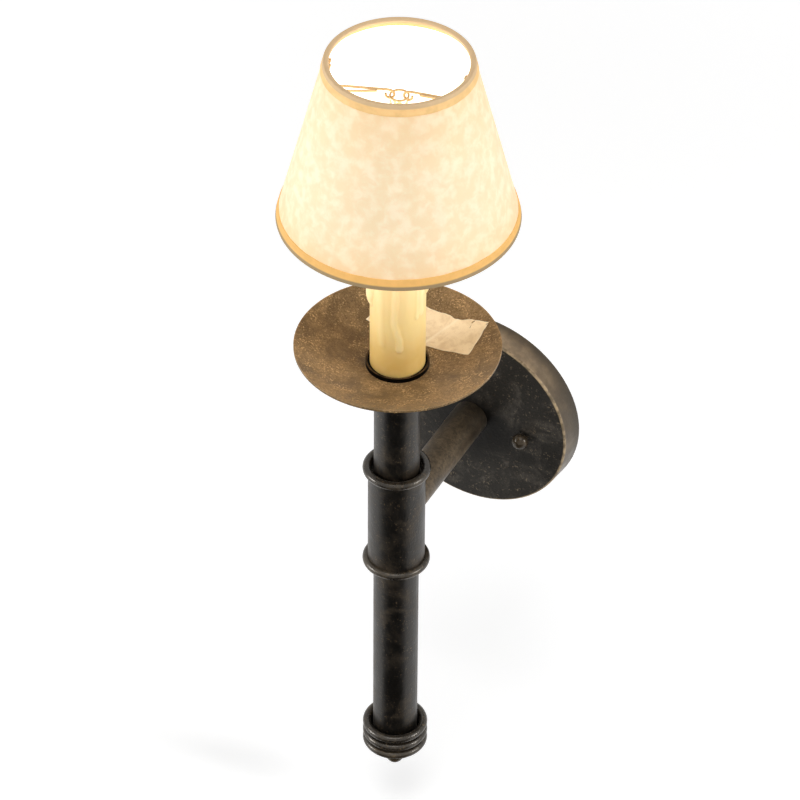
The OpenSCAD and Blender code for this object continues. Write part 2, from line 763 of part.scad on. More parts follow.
module socket_contact() {
    leaf_r = contact_well_r - 0.6;
    stalk_top = bulb_foot - rest_gap;
    color([0.8, 0.66, 0.32]) on_stem() {
        translate([0, 0, contact_well_z]) cylinder(r = leaf_r, h = contact_leaf_t);
        translate([0, 0, contact_well_z]) cylinder(r = 0.6 * leaf_r, h = stalk_top - contact_well_z);
    }
}

module socket_liner() {
    color([0.25, 0.2, 0.16]) on_stem() ring_tube(liner_r, liner_in_r, cup_floor_z, liner_top);
}

// Wax runs: the side each is on, in degrees from +X, and how far up the candle it ends, as a share
function wax_runs() = [[-62, 0.17], [-98, 0.3], [-140, 0.72], [172, 0.42], [128, 0.62],
    [80, 0.34], [38, 0.7], [4, 0.55], [-28, 0.6]];

module candle_cover() {
    color([0.94, 0.82, 0.5]) on_stem() difference() {
        union() {
            translate([0, 0, candle_z]) cylinder(r = candle_r, h = candle_len);
            translate([0, 0, candle_top - drip_crown_h])
                cylinder(r = candle_r + 0.4 * drip_proud, h = drip_crown_h);
            for (run = wax_runs()) rotate(run[0]) translate([candle_r + drip_proud - drip_r, 0, 0]) {
                foot = candle_z + run[1] * candle_len;
                translate([0, 0, foot]) cylinder(r = drip_r, h = candle_top - foot);
                translate([0, 0, foot]) sphere(drip_r);
            }
        }
        translate([0, 0, candle_z - MORE]) cylinder(r = candle_in_r, h = candle_len + 2 * MORE);
    }
}

// ---- Bulb
module bulb_contact() {
    color([0.75, 0.75, 0.76]) on_stem() translate([0, 0, bulb_foot])
        cylinder(r1 = 0.8 * contact_r, r2 = contact_r, h = contact_h);
}

module bulb_insulator() {
    color([0.1, 0.1, 0.12]) on_stem() translate([0, 0, bulb_foot + contact_h])
        cylinder(r1 = contact_r, r2 = insulator_r, h = insulator_h);
}

module bulb_base() {
    foot = bulb_foot + contact_h + insulator_h;
    color([0.82, 0.7, 0.4]) on_stem() {
        ring_tube(base_r, base_r - shell_t, foot, base_top);
        ring_tube(base_r, insulator_r - 1.6, foot, foot + shell_t);
    }
}

// Radius of the glass at height z
function glass_r(z) = z < belly_z
    ? glass_neck_r
        + (bulb_r - glass_neck_r) * pow(sin(90 * (z - glass_start) / (belly_z - glass_start)), 1.25)
    : bulb_r * pow(max(0, 1 - pow((z - belly_z) / (bulb_tip - belly_z), 2)), 0.8);

module bulb_glass() {
    steps = 26;
    heights = [for (i = [0:steps]) glass_start + (bulb_tip - glass_start) * (1 - pow(1 - i / steps, 1.35))];
    outside = [for (z = heights) [glass_r(z), z]];
    inside = [for (i = [steps - 2:-1:0]) [max(0, glass_r(heights[i]) - bulb_glass_t), heights[i]]];
    color([0.98, 0.95, 0.86, 0.4]) on_stem() rotate_extrude() polygon(concat(
        [[glass_neck_r, glass_foot]], outside, [[0, bulb_tip - 2 * bulb_glass_t]], inside,
        [[glass_neck_r - bulb_glass_t, glass_foot]]));
}

module bulb_mount() {
    flare_r = glass_neck_r - bulb_glass_t - fit_gap;
    color([0.9, 0.95, 0.95, 0.6]) on_stem() translate([0, 0, glass_foot]) {
        cylinder(r = flare_r, h = 1.2);
        cylinder(r = 2.2, h = bulb_mount_h);
    }
}

module bulb_filament() {
    post_x = 1.3;
    post_r = 0.3;
    post_lean = 8;
    post_len = 18;
    foot = glass_foot + bulb_mount_h;
    coil_r = post_x + post_len * sin(post_lean);
    color([0.9, 0.75, 0.4]) on_stem() {
        for (side = [-1, 1]) translate([side * post_x, 0, foot]) rotate([0, side * post_lean, 0])
            cylinder(r = post_r, h = post_len);
        torus(coil_r, 0.9 * post_r, foot + post_len * cos(post_lean));
    }
}

// ---- Bulb clip and shade
module clip_tip_ring() {
    color([0.75, 0.65, 0.42]) on_stem() torus(tip_ring_r, tip_wire_r, tip_ring_z);
}

// One spring loop, lying over the glass. turn is 0 at its top and 360 when it is back there.
function loop_point(turn) = let(
        low = belly_z - 0.5, z = (clip_top + low) / 2 + (clip_top - low) / 2 * cos(turn),
        out = max(tip_ring_r, glass_r(min(z, bulb_tip)) + clip_air + clip_wire_r + 0.3 * sin(turn / 2)),
        swing = clip_loop_w / 2 * sin(turn) / out * 180 / PI)
    [out * cos(swing), out * sin(swing), z];

module bulb_clip() {
    parting = asin(2 * clip_half_gap / clip_loop_w);
    steps = 44;
    color([0.75, 0.65, 0.42]) on_stem() for (turn = [right_arm_turn, left_arm_turn + 180]) rotate(turn)
        wire([for (i = [0:steps]) loop_point(parting + (360 - 2 * parting) * i / steps)],
            clip_wire_r, [1, 0, 0]);
}

// The arm's main wire ends in a hook under the small ring, and its second wire joins the first
module shade_arm(spread) {
    apart = arm_wire_d + 2 * fit_gap;
    half = max(spread, apart / 2);
    end_r = upper_rim[0] - rim_wire_r - tape_t - arm_wire_r - fit_gap;
    ring_x = sqrt(end_r * end_r - half * half);
    flare = (shade_bottom_r - shade_top_r) / shade_h;
    bend_r = 2.6;
    bend_z = arm_z + bend_r;
    bend_x = ring_x + flare * (upper_rim[1] - bend_z);
    mid = ([ring_x, upper_rim[1]] + [bend_x, bend_z]) / 2;
    level_x = bend_x - bend_r;
    inner_x = tip_ring_r - hook_r;
    join_x = 0.27 * ring_x;
    hook_steps = 9;
    hook = [for (i = [0:hook_steps]) let(a = 180 + 195 * i / hook_steps)
        [tip_ring_r + hook_r * cos(a), 0, hook_z + hook_r * sin(a)]];
    down = [[ring_x, upper_rim[1]], mid, [bend_x, bend_z], [bend_x - 0.29 * bend_r, arm_z + 0.29 * bend_r]];
    level = [[level_x, 0.95], [0.75 * level_x, 0.72], [0.5 * level_x, 0.36]]; // place, share of the spread
    main = concat([for (p = down) [p[0], half, p[1]]], [for (p = level) [p[0], p[1] * half, arm_z]],
        [[join_x, 0, arm_z], [tip_ring_r + 0.3, 0, arm_z - 0.4], [inner_x + 0.5, 0, arm_z - 1.7]], hook);
    second = concat([for (p = down) [p[0], -half, p[1]]],
        [for (p = level) [p[0], p[1] * half - max((1.2 * p[1] + 0.7) * half, apart), arm_z]],
        [[join_x + 2, -apart, arm_z]]);
    wire(smooth(main, 2), arm_wire_r, [1, 0, 0]);
    wire(smooth(second, 2), arm_wire_r, [1, 0, 0]);
}

module shade_arm_left() {
    color([0.75, 0.65, 0.42]) on_stem() rotate(left_arm_turn + 180) mirror([0, 1, 0])
        shade_arm(left_arm_spread);
}

module shade_arm_right() {
    color([0.75, 0.65, 0.42]) on_stem() rotate(right_arm_turn) shade_arm(right_arm_spread);
}

module shade_ring_upper() {
    color([0.8, 0.78, 0.7]) on_stem() torus(upper_rim[0], rim_wire_r, upper_rim[1]);
}

module shade_ring_lower() {
    color([0.8, 0.78, 0.7]) on_stem() torus(lower_rim[0], rim_wire_r, lower_rim[1]);
}

// A point of the shade's section: s up its slope from the lower edge, d outwards from its outer face
function on_wall(s, d) = [shade_bottom_r, shade_foot_z] + s * along + d * outward;

// A strip of that section between two places along the slope and two depths
module wall_strip(from, to, near, far) {
    low = min(from, to);
    high = max(from, to);
    polygon([on_wall(high, near), on_wall(low, near), on_wall(low, far), on_wall(high, far)]);
}

module shade_paper() {
    color([0.97, 0.9, 0.76]) on_stem() rotate_extrude()
        wall_strip(paper_out, shade_slant - paper_out, -paper_in, -paper_out);
}

// Tape over the edge at slope place edge, folded round its wire ring; up is 1 or -1, into the shade
module edge_tape(edge, up, rim) {
    rotate_extrude() difference() {
        union() {
            wall_strip(edge, edge + up * tape_w, -tape_t, 0);
            wall_strip(edge, edge + up * rim_inset, -fold_depth, 0);
            translate(rim) circle(rim_wire_r + tape_t);
        }
        translate(rim) circle(rim_wire_r);
        wall_strip(tape_t, shade_slant - tape_t, -paper_in - glue_gap, -tape_t);
    }
}

module shade_tape_upper() {
    color([0.86, 0.78, 0.62]) on_stem() edge_tape(shade_slant, -1, upper_rim);
}

module shade_tape_lower() {
    color([0.86, 0.78, 0.62]) on_stem() edge_tape(0, 1, lower_rim);
}

// ---- Leads, from their connectors in the canopy to the socket
module supply_lead(side) {
    x = side * lead_x;
    turn_out = (bracket_top + rivet_head_t + bushing_back) / 2;
    route = [
        [side * (connector_mouth + 0.45 * connector_len), -connector_out, connector_rise],
        [side * connector_mouth, -connector_out, connector_rise - 0.1 * lead_d],
        [side * (lead_x + 0.8 * lead_d), -connector_out, connector_rise - 1.4 * lead_d],
        [x * 1.1, 0.3 * lead_d - connector_out, connector_rise - 4 * lead_d],
        [x, -0.8 * connector_out, 5.5 * lead_d], [x, -turn_out - 0.14 * lead_d, 2.7 * lead_d],
        [x, -turn_out - 0.18 * lead_d, 1.1 * lead_d], [x, -bushing_back, 0.05 * lead_d],
        [x, -bushing_back - 2.3 * lead_d, 0], [x, -0.5 * stem_out, 0],
        [x, stem_in_r + lead_d - stem_out, 0], [x, 0.5 * stem_in_r - stem_out, 0.5 * lead_d],
        [x, 0.13 * stem_in_r - stem_out, 2.3 * lead_d], [x, -stem_out, 6 * lead_d],
        [x, -stem_out, 0.5 * stem_above], [x, -stem_out, top_nipple_foot - lead_d],
        [x, -stem_out, top_nipple_top], [x, -stem_out, socket_foot]];
    wire(smooth(route, 4), lead_r, [0, 0, 1]);
}

module lead_hot() {
    color([0.1, 0.1, 0.1]) supply_lead(1);
}

module lead_neutral() {
    color([0.92, 0.92, 0.9]) supply_lead(-1);
}

// From the bracket's ground screw up over the bar and out to the washer behind the arm's lock nut
module lead_ground() {
    start_x = ground_screw_place[0] + ground_screw_d / 2 + lead_r + 0.1;
    clear_z = ground_screw_place[1] + ground_head_r + lead_r;
    bar_touch = bracket_top + lead_r + fit_gap;
    washer_touch = washer_back - lead_r - fit_gap;
    rise = washer_touch - bar_touch;
    end_r = arm_washer_d / 2 - lead_r;
    route = [
        [start_x, -bar_touch, ground_screw_place[1] - 1.2 * lead_d], [start_x, -bar_touch, clear_z],
        [start_x, -bar_touch - 0.1 * lead_d, clear_z + 0.6 * lead_d],
        [start_x + 0.3 * lead_d, -bar_touch - 0.3 * rise, clear_z + 1.7 * lead_d],
        [start_x + lead_d, -bar_touch - 0.65 * rise, clear_z + 2.6 * lead_d],
        [-0.93 * end_r, -washer_touch + 0.1 * lead_d, clear_z + 2.5 * lead_d],
        [-0.66 * end_r, -washer_touch, 0.75 * end_r], [-0.5 * end_r, -washer_touch, 0.86 * end_r]];
    color([0.2, 0.55, 0.25]) wire(smooth(route, 4), lead_r, [0, 1, 0]);
}

module wire_connectors() {
    color([0.85, 0.35, 0.1]) for (side = [-1, 1])
        translate([side * connector_mouth, -connector_out, connector_rise]) rotate([0, side * 90, 0])
            difference() {
                cylinder(r1 = connector_r, r2 = 0.72 * connector_r, h = connector_len);
                translate([0, 0, -MORE]) cylinder(r = lead_r + 0.4, h = connector_len - 3);
            }
}

canopy();
box_bar();
fixture_bar();
bracket_rivet();
ground_screw();
canopy_screws();
screw_lock_nuts();
ball_nuts();
arm_pipe();
arm_plug();
arm_nipple();
arm_washer();
arm_lock_nut();
nipple_bushing();
stem_pipe();
stem_top_plug();
stem_bottom_plug();
sleeve();
sleeve_bead_upper();
sleeve_bead_lower();
sleeve_bush_upper();
sleeve_bush_lower();
finial_cup();
finial_ring_upper();
finial_ring_middle();
finial_ring_lower();
finial_cap();
finial_stud();
finial_ball();
drip_pan();
candle_cup();
paper_label();
top_nipple();
pan_lock_nut();
socket_bracket();
socket_body();
socket_screw_shell();
socket_contact();
socket_liner();
candle_cover();
bulb_contact();
bulb_insulator();
bulb_base();
bulb_glass();
bulb_mount();
bulb_filament();
clip_tip_ring();
bulb_clip();
shade_arm_left();
shade_arm_right();
shade_ring_upper();
shade_ring_lower();
shade_paper();
shade_tape_upper();
shade_tape_lower();
lead_hot();
lead_neutral();
lead_ground();
wire_connectors();
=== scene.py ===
import math

import bmesh
import bpy
from mathutils import Matrix, Vector, noise


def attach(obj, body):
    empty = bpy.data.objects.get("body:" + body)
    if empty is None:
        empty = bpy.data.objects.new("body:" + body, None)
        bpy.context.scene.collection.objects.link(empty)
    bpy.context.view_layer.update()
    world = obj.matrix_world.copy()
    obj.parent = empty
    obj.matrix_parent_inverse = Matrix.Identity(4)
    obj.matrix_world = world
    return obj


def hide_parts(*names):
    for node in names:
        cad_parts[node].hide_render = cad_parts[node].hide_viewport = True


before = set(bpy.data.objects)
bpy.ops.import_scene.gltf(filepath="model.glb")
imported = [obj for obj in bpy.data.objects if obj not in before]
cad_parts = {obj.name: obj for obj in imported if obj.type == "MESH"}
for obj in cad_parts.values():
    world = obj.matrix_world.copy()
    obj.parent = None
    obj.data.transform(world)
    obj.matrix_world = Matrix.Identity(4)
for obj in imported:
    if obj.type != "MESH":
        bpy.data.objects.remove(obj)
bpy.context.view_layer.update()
mm = 0.001
stemY = -0.1138  # the stem's axis, in metres
doubles = 0.00001  # points closer than this are one
print("frame loaded")


# ways to wire a material's nodes
def put(tree, socket, value):
    if isinstance(value, bpy.types.NodeSocket):
        tree.links.new(value, socket)
    elif isinstance(value, (tuple, list)) and len(value) == 3 and socket.type == "RGBA":
        socket.default_value = (*value, 1)
    else:
        socket.default_value = value


def coordinates(tree, about=(0, 0, 0), scale=(1, 1, 1)):
    # Object coordinates seen from the point about
    where = tree.nodes.new("ShaderNodeTexCoord")
    moved = tree.nodes.new("ShaderNodeMapping")
    moved.vector_type = "POINT"
    moved.inputs["Location"].default_value = [-a * s for a, s in zip(about, scale)]
    moved.inputs["Scale"].default_value = scale
    tree.links.new(where.outputs["Object"], moved.inputs["Vector"])
    return moved.outputs[0]


def cloud(tree, vector, scale, detail=3.0, rough=0.5, distortion=0.0):
    tex = tree.nodes.new("ShaderNodeTexNoise")
    put(tree, tex.inputs["Vector"], vector)
    tex.inputs["Scale"].default_value = scale
    tex.inputs["Detail"].default_value = detail
    tex.inputs["Roughness"].default_value = rough
    tex.inputs["Distortion"].default_value = distortion
    return tex.outputs["Fac"]


def step(tree, value, low, high, toLow=0.0, toHigh=1.0):
    # a smooth step between two values
    node = tree.nodes.new("ShaderNodeMapRange")
    node.interpolation_type = "SMOOTHSTEP"
    put(tree, node.inputs["Value"], value)
    node.inputs["From Min"].default_value = low
    node.inputs["From Max"].default_value = high
    node.inputs["To Min"].default_value = toLow
    node.inputs["To Max"].default_value = toHigh
    return node.outputs[0]


def math2(tree, kind, a, b=0.0):
    node = tree.nodes.new("ShaderNodeMath")
    node.operation = kind
    put(tree, node.inputs[0], a)
    put(tree, node.inputs[1], b)
    return node.outputs[0]


def times(tree, a, b):
    return math2(tree, "MULTIPLY", a, b)


def plus(tree, a, b):
    return math2(tree, "ADD", a, b)


def blendColour(tree, factor, a, b, kind="MIX"):
    node = tree.nodes.new("ShaderNodeMix")
    node.data_type = "RGBA"
    node.blend_type = kind
    put(tree, node.inputs[0], factor)
    put(tree, node.inputs[6], a)
    put(tree, node.inputs[7], b)
    return node.outputs[2]


def parts(tree, vector):
    node = tree.nodes.new("ShaderNodeSeparateXYZ")
    tree.links.new(vector, node.inputs[0])
    return node.outputs


def joined(tree, *values):
    node = tree.nodes.new("ShaderNodeCombineXYZ")
    for socket, value in zip(node.inputs, values):
        tree.links.new(value, socket)
    return node.outputs[0]


def distanceFrom(tree, vector):
    node = tree.nodes.new("ShaderNodeVectorMath")
    node.operation = "LENGTH"
    tree.links.new(vector, node.inputs[0])
    return node.outputs["Value"]


def bumpBy(tree, body, height, strength, distance):
    node = tree.nodes.new("ShaderNodeBump")
    node.inputs["Strength"].default_value = strength
    node.inputs["Distance"].default_value = distance
    tree.links.new(height, node.inputs["Height"])
    tree.links.new(node.outputs[0], body.inputs["Normal"])


def baseColour(tree, body, colour):
    put(tree, body.inputs["Base Color"], colour)


def glowBy(tree, body, colour, strength):
    put(tree, body.inputs["Emission Color"], colour)
    put(tree, body.inputs["Emission Strength"], strength)


def newMaterial(name, rough=0.5, metallic=0.0, specular=0.5):
    mat = bpy.data.materials.new(name)
    mat.use_nodes = True
    body = mat.node_tree.nodes["Principled BSDF"]
    body.inputs["Roughness"].default_value = rough
    body.inputs["Metallic"].default_value = metallic
    body.inputs["Specular IOR Level"].default_value = specular
    return mat, mat.node_tree, body


# ways to make a finished piece
def meshPiece(name, points, faces, materials, smooth=True, edges=()):
    mesh = bpy.data.meshes.new(name)
    mesh.from_pydata(points, edges, faces)
    for mat in materials:
        mesh.materials.append(mat)
    piece = bpy.data.objects.new(name, mesh)
    bpy.context.collection.objects.link(piece)
    if smooth:
        mesh.polygons.foreach_set("use_smooth", [True] * len(mesh.polygons))
    return piece


def tidyMesh(piece):
    # merges doubles and turns every face outwards
    edit = bmesh.new()
    edit.from_mesh(piece.data)
    bmesh.ops.remove_doubles(edit, verts=edit.verts, dist=doubles)
    bmesh.ops.recalc_face_normals(edit, faces=edit.faces)
    edit.to_mesh(piece.data)
    edit.free()


def makeFinal(piece, materials=()):
    # the evaluated piece becomes a plain mesh, in these materials if any are given
    graph = bpy.context.evaluated_depsgraph_get()
    whole = piece.evaluated_get(graph)
    mesh = bpy.data.meshes.new_from_object(whole, preserve_all_data_layers=True, depsgraph=graph)
    piece.modifiers.clear()
    old = piece.data
    piece.data = mesh
    mesh.name = piece.name
    bpy.data.meshes.remove(old)
    if materials:
        mesh.materials.clear()
        for mat in materials:
            mesh.materials.append(mat)
        mesh.polygons.foreach_set("material_index", [0] * len(mesh.polygons))


# the camera stands where the photo was taken from
cameraSet = {
    "eye": (0.85388, stemY - 1.687518, 1.665155),
    "target": (0.001738, stemY, 0.085265),
    "roll": 0.42209,
    "lens": 195.226,
    "sensor": 36.0,
}


def makeCamera():
    data = bpy.data.cameras.new("camera")
    data.lens = cameraSet["lens"]
    data.sensor_width = cameraSet["sensor"]
    data.clip_start = 0.05
    data.clip_end = 60
    cam = bpy.data.objects.new("camera", data)
    bpy.context.collection.objects.link(cam)
    eye = Vector(cameraSet["eye"])
    look = (Vector(cameraSet["target"]) - eye).normalized()
    right = look.cross(Vector((0, 0, 1))).normalized()
    up = right.cross(look)
    roll = math.radians(cameraSet["roll"])
    turned = right * math.cos(roll) + up * math.sin(roll)
    upward = up * math.cos(roll) - right * math.sin(roll)
    cam.matrix_world = Matrix.Translation(eye) @ Matrix((turned, upward, -look)).transposed().to_4x4()
    bpy.context.scene.camera = cam


# two round softboxes stand beside the sconce and a larger one hangs above it
lightSet = {
    "left": {"at": (-1.75, -1.25, 0.55), "size": 0.8, "watts": 28},
    "right": {"at": (1.75, 0.1, 0.75), "size": 0.6, "watts": 19},
    "top": {"at": (0.15, -0.75, 2.1), "size": 1.3, "watts": 16},
    "aim": (0, stemY, 0.05),
    "world": 0.22,
}

# the floor lies just under the finial, and its glow grows with distance, where the lamps reach less
floorSet = {
    "z": -0.235,
    "half": 4.0,
    "colour": (0.95, 0.95, 0.95),
    "glow": (0.30, 0.95),
    "glowFrom": 0.4,
    "glowTo": 2.2,
}

# a fan of dark card on the floor in front, seen only by gloss, in degrees from the front to the right
cardSet = {
    "turnFrom": -37.0,
    "turnTo": 72.0,
    "steps": 12,
    "reach": 1.6,
    "above": 0.001,
    "colour": (0.01, 0.01, 0.01),
}


def makeLight(name, at, size, watts):
    data = bpy.data.lights.new(name, "AREA")
    data.shape = "DISK"
    data.size = size
    data.energy = watts
    lamp = bpy.data.objects.new(name, data)
    bpy.context.collection.objects.link(lamp)
    lamp.location = at
    lamp.rotation_mode = "QUATERNION"
    lamp.rotation_quaternion = (Vector(lightSet["aim"]) - Vector(at)).to_track_quat("-Z", "Y")


def seenRays(tree):
    # 1 for rays that meet the backdrop from the camera, a mirror or a glass
    path = tree.nodes.new("ShaderNodeLightPath").outputs
    either = math2(tree, "MAXIMUM", path["Is Camera Ray"], path["Is Glossy Ray"])
    return math2(tree, "MAXIMUM", either, path["Is Transmission Ray"])


def makeWorld():
    scene = bpy.context.scene
    scene.view_settings.view_transform = "Standard"
    scene.world = bpy.data.worlds.new("studio")
    scene.world.use_nodes = True
    tree = scene.world.node_tree
    tree.nodes.clear()
    mix = tree.nodes.new("ShaderNodeMixShader")
    put(tree, mix.inputs[0], seenRays(tree))
    for place, strength in ((1, lightSet["world"]), (2, 1.0)):
        sky = tree.nodes.new("ShaderNodeBackground")
        sky.inputs["Color"].default_value = (1, 1, 1, 1)
        sky.inputs["Strength"].default_value = strength
        put(tree, mix.inputs[place], sky.outputs[0])
    out = tree.nodes.new("ShaderNodeOutputWorld")
    put(tree, out.inputs[0], mix.outputs[0])
    for name in ("left", "right", "top"):
        makeLight(name, **lightSet[name])


def makeFloor():
    s = floorSet
    paint, tree, body = newMaterial("paleFloor", 0.9, 0.0, 0.1)
    baseColour(tree, body, s["colour"])
    away = step(tree, distanceFrom(tree, coordinates(tree)), s["glowFrom"], s["glowTo"], *s["glow"])
    glowBy(tree, body, (1, 1, 1), times(tree, seenRays(tree), away))
    corners = [(x * s["half"], y * s["half"], s["z"]) for x, y in ((-1, -1), (1, -1), (1, 1), (-1, 1))]
    floor = meshPiece("floor", corners, [(0, 1, 2, 3)], [paint], smooth=False)


def makeCard():
    s = cardSet
    felt, tree, body = newMaterial("darkFelt", 0.5, 0.0, 0.0)
    baseColour(tree, body, s["colour"])
    z = floorSet["z"] + s["above"]
    fan = [(0.0, stemY, z)]
    for i in range(s["steps"] + 1):
        turn = math.radians(s["turnFrom"] + (s["turnTo"] - s["turnFrom"]) * i / s["steps"])
        fan.append((s["reach"] * math.sin(turn), stemY - s["reach"] * math.cos(turn), z))
    faces = [(0, i + 1, i + 2) for i in range(s["steps"])]
    card = meshPiece("darkCard", fan, faces, [felt], smooth=False)
    card.visible_camera = card.visible_diffuse = card.visible_transmission = card.visible_shadow = False


makeCamera()
makeWorld()
makeFloor()
makeCard()
print("camera and studio made")

# rubbed dark bronze with brown clouds, golden flecks and worn edges
bronzeSet = {
    "dark": (0.0016, 0.0012, 0.0008),
    "brown": (0.036, 0.025, 0.0140),
    "gold": (0.15, 0.10, 0.055),
    "wornColour": (0.36, 0.25, 0.13),
    "cloudScale": 60.0,
    "cloudRange": (0.46, 0.68),
    "mottleScale": 400.0,
    "fleckScale": 760.0,
    "fleckShare": 0.62,
    "grainRange": (0.59, 0.70),
    "rough": (0.33, 0.47),
    "specular": 0.44,
    "specularTint": (1.0, 0.94, 0.86),
    "sheen": 0.05,
    "sheenRough": 0.4,
    "sheenTint": (1.0, 0.91, 0.80),
}


def bronze(name, look, worn):
    # look overrides single settings and worn(tree), if any, gives a 0 to 1 mask of rubbed places
    s = {**bronzeSet, **look}
    mat, tree, body = newMaterial(name, 0.45, 0.0, s["specular"])
    body.inputs["Sheen Weight"].default_value = s["sheen"]
    body.inputs["Sheen Roughness"].default_value = s["sheenRough"]
    put(tree, body.inputs["Sheen Tint"], s["sheenTint"])
    put(tree, body.inputs["Specular Tint"], s["specularTint"])
    where = coordinates(tree)
    clouds = cloud(tree, where, s["cloudScale"], 5.0, 0.62, 0.6)
    patches = step(tree, clouds, *s["cloudRange"])
    mottle = step(tree, cloud(tree, where, s["mottleScale"], 3.0, 0.55), 0.36, 0.66, 0.45, 1.0)
    base = blendColour(tree, times(tree, patches, mottle), s["dark"], s["brown"])
    fine = cloud(tree, where, s["fleckScale"], 2.0, 0.6)
    grains = step(tree, fine, *s["grainRange"])
    spread = step(tree, cloud(tree, where, s["cloudScale"] * 2.1, 3.0, 0.6), 0.40, 0.66, 0.12, 1.0)
    flecks = times(tree, grains, spread)
    flecks = times(tree, flecks, s["fleckShare"])
    base = blendColour(tree, flecks, base, s["gold"])
    pits = step(tree, cloud(tree, where, s["fleckScale"] * 1.7, 2.0, 0.5), 0.34, 0.44, 0.55, 1.0)
    base = blendColour(tree, 1.0, base, pits, "MULTIPLY")
    if worn:
        uneven = step(tree, cloud(tree, where, 170.0, 4.0, 0.6), 0.36, 0.60, 0.35, 1.0)
        base = blendColour(tree, times(tree, worn(tree), uneven), base, s["wornColour"])
    baseColour(tree, body, base)
    put(tree, body.inputs["Roughness"], step(tree, clouds, 0.3, 0.7, *s["rough"]))
    ground = plus(tree, times(tree, fine, 0.6), times(tree, clouds, 0.8))
    bumpBy(tree, body, ground, 0.35, 0.0006)
    return mat


# worn places, each on its own piece
def canopyWear(tree):
    # the line where the canopy's face turns into its side
    r = distanceFrom(tree, coordinates(tree, (0, 0, 0), (1, 0, 1)))
    depth = parts(tree, coordinates(tree))[1]
    line = times(tree, step(tree, r, 0.0606, 0.0614), step(tree, depth, -0.0142, -0.0150))
    return times(tree, line, 0.85)


def beadWear(tree):
    return step(tree, cloud(tree, coordinates(tree), 520.0, 4.0, 0.65), 0.52, 0.76, 0.0, 0.3)


def edgeWear(axis, *band):
    # an edge across one axis: the pan's thin rim, the cup's upper edge and the nuts' faces
    return lambda tree: step(tree, parts(tree, coordinates(tree))[axis], *band)


def paintShadeTowards(mat, about, near, far, least):
    # painted shade that gathers about a point, where one part meets another
    tree = mat.node_tree
    colour = tree.nodes["Principled BSDF"].inputs["Base Color"]
    shade = step(tree, distanceFrom(tree, coordinates(tree, about)), near, far, least, 1.0)
    put(tree, colour, blendColour(tree, 1.0, colour.links[0].from_socket, shade, "MULTIPLY"))


# what sets the other bronzes apart from the pipes' finish
bronzeLooks = {
    "bronzePipe": ({}, None),
    "bronzeArm": ({
        "dark": (0.034, 0.024, 0.014), "brown": (0.135, 0.096, 0.056), "sheen": 0.1, "specular": 0.3,
        "cloudRange": (0.30, 0.62), "cloudScale": 45.0}, None),
    "bronzeBead": ({
        "dark": (0.016, 0.0125, 0.009), "brown": (0.05, 0.037, 0.022), "rough": (0.2, 0.34),
        "specular": 0.55}, beadWear),
    "bronzeNut": ({
        "dark": (0.007, 0.006, 0.005), "rough": (0.14, 0.26), "specular": 0.3},
        edgeWear(1, -0.0205, -0.0235, 0.0, 0.12)),
    "bronzeTip": ({"brown": (0.02, 0.015, 0.01), "fleckShare": 0.1}, None),
    # the cup's near-black includes painted shade of its shadowed wall and of the gap by the candle
    "bronzeCup": ({
        "dark": (0.001, 0.0008, 0.0006), "brown": (0.003, 0.002, 0.001), "rough": (0.4, 0.6),
        "specular": 0.03, "sheen": 0.03, "fleckShare": 0.05, "wornColour": (0.20, 0.125, 0.06)},
        edgeWear(2, 0.11462, 0.11478, 0.0, 0.4)),
    "bronzePan": ({
        "dark": (0.120, 0.075, 0.033), "brown": (0.275, 0.176, 0.083), "gold": (0.85, 0.56, 0.26),
        "cloudScale": 48.0, "cloudRange": (0.34, 0.62), "mottleScale": 560.0, "fleckScale": 940.0,
        "fleckShare": 0.5, "grainRange": (0.51, 0.67), "rough": (0.36, 0.54), "specular": 0.16,
        "wornColour": (0.62, 0.42, 0.21)}, edgeWear(2, 0.12535, 0.12565, 0.0, 0.35)),
    "bronzeCanopy": ({
        "dark": (0.020, 0.018, 0.015), "brown": (0.078, 0.067, 0.054), "gold": (0.26, 0.20, 0.13),
        "specular": 0.22, "wornColour": (0.50, 0.37, 0.22)}, canopyWear),
}

# the canopy's brown side, with painted shade towards the wall and on the right
canopySide = {
    "radius": (0.0612, 0.0621),
    "depth": (-0.0156, -0.0148),
    "colours": ((0.21, 0.155, 0.10), (0.40, 0.29, 0.175)),
    "shadeByWall": (0.035, 0.026, 0.017),
    "shadeToRight": (0.040, 0.030, 0.019),
}


def paintCanopySide(mat):
    s = canopySide
    tree = mat.node_tree
    colour = tree.nodes["Principled BSDF"].inputs["Base Color"]
    across, depth = parts(tree, coordinates(tree))[:2]
    r = distanceFrom(tree, coordinates(tree, (0, 0, 0), (1, 0, 1)))
    side = times(tree, step(tree, r, *s["radius"]), step(tree, depth, *s["depth"]))
    clouds = step(tree, cloud(tree, coordinates(tree), 90.0, 4.0, 0.6), 0.35, 0.7)
    shade = blendColour(tree, clouds, *s["colours"])
    # painted shade on the side towards the wall and towards the right
    shade = blendColour(tree, step(tree, depth, -0.0110, -0.0008, 0.0, 0.85), shade, s["shadeByWall"])
    shade = blendColour(tree, step(tree, across, 0.030, 0.058, 0.0, 0.75), shade, s["shadeToRight"])
    face = colour.links[0].from_socket
    put(tree, colour, blendColour(tree, times(tree, side, 0.9), face, shade))


def makeBronzes():
    made = {name: bronze(name, *look) for name, look in bronzeLooks.items()}
    # painted shade on the arm towards the canopy
    paintShadeTowards(made["bronzeArm"], (0, 0, 0), 0.020, 0.062, 0.25)
    paintCanopySide(made["bronzeCanopy"])
    # painted shade on the canopy's face round the arm's foot
    paintShadeTowards(made["bronzeCanopy"], (0, -0.0165, -0.006), 0.014, 0.036, 0.08)
    return made


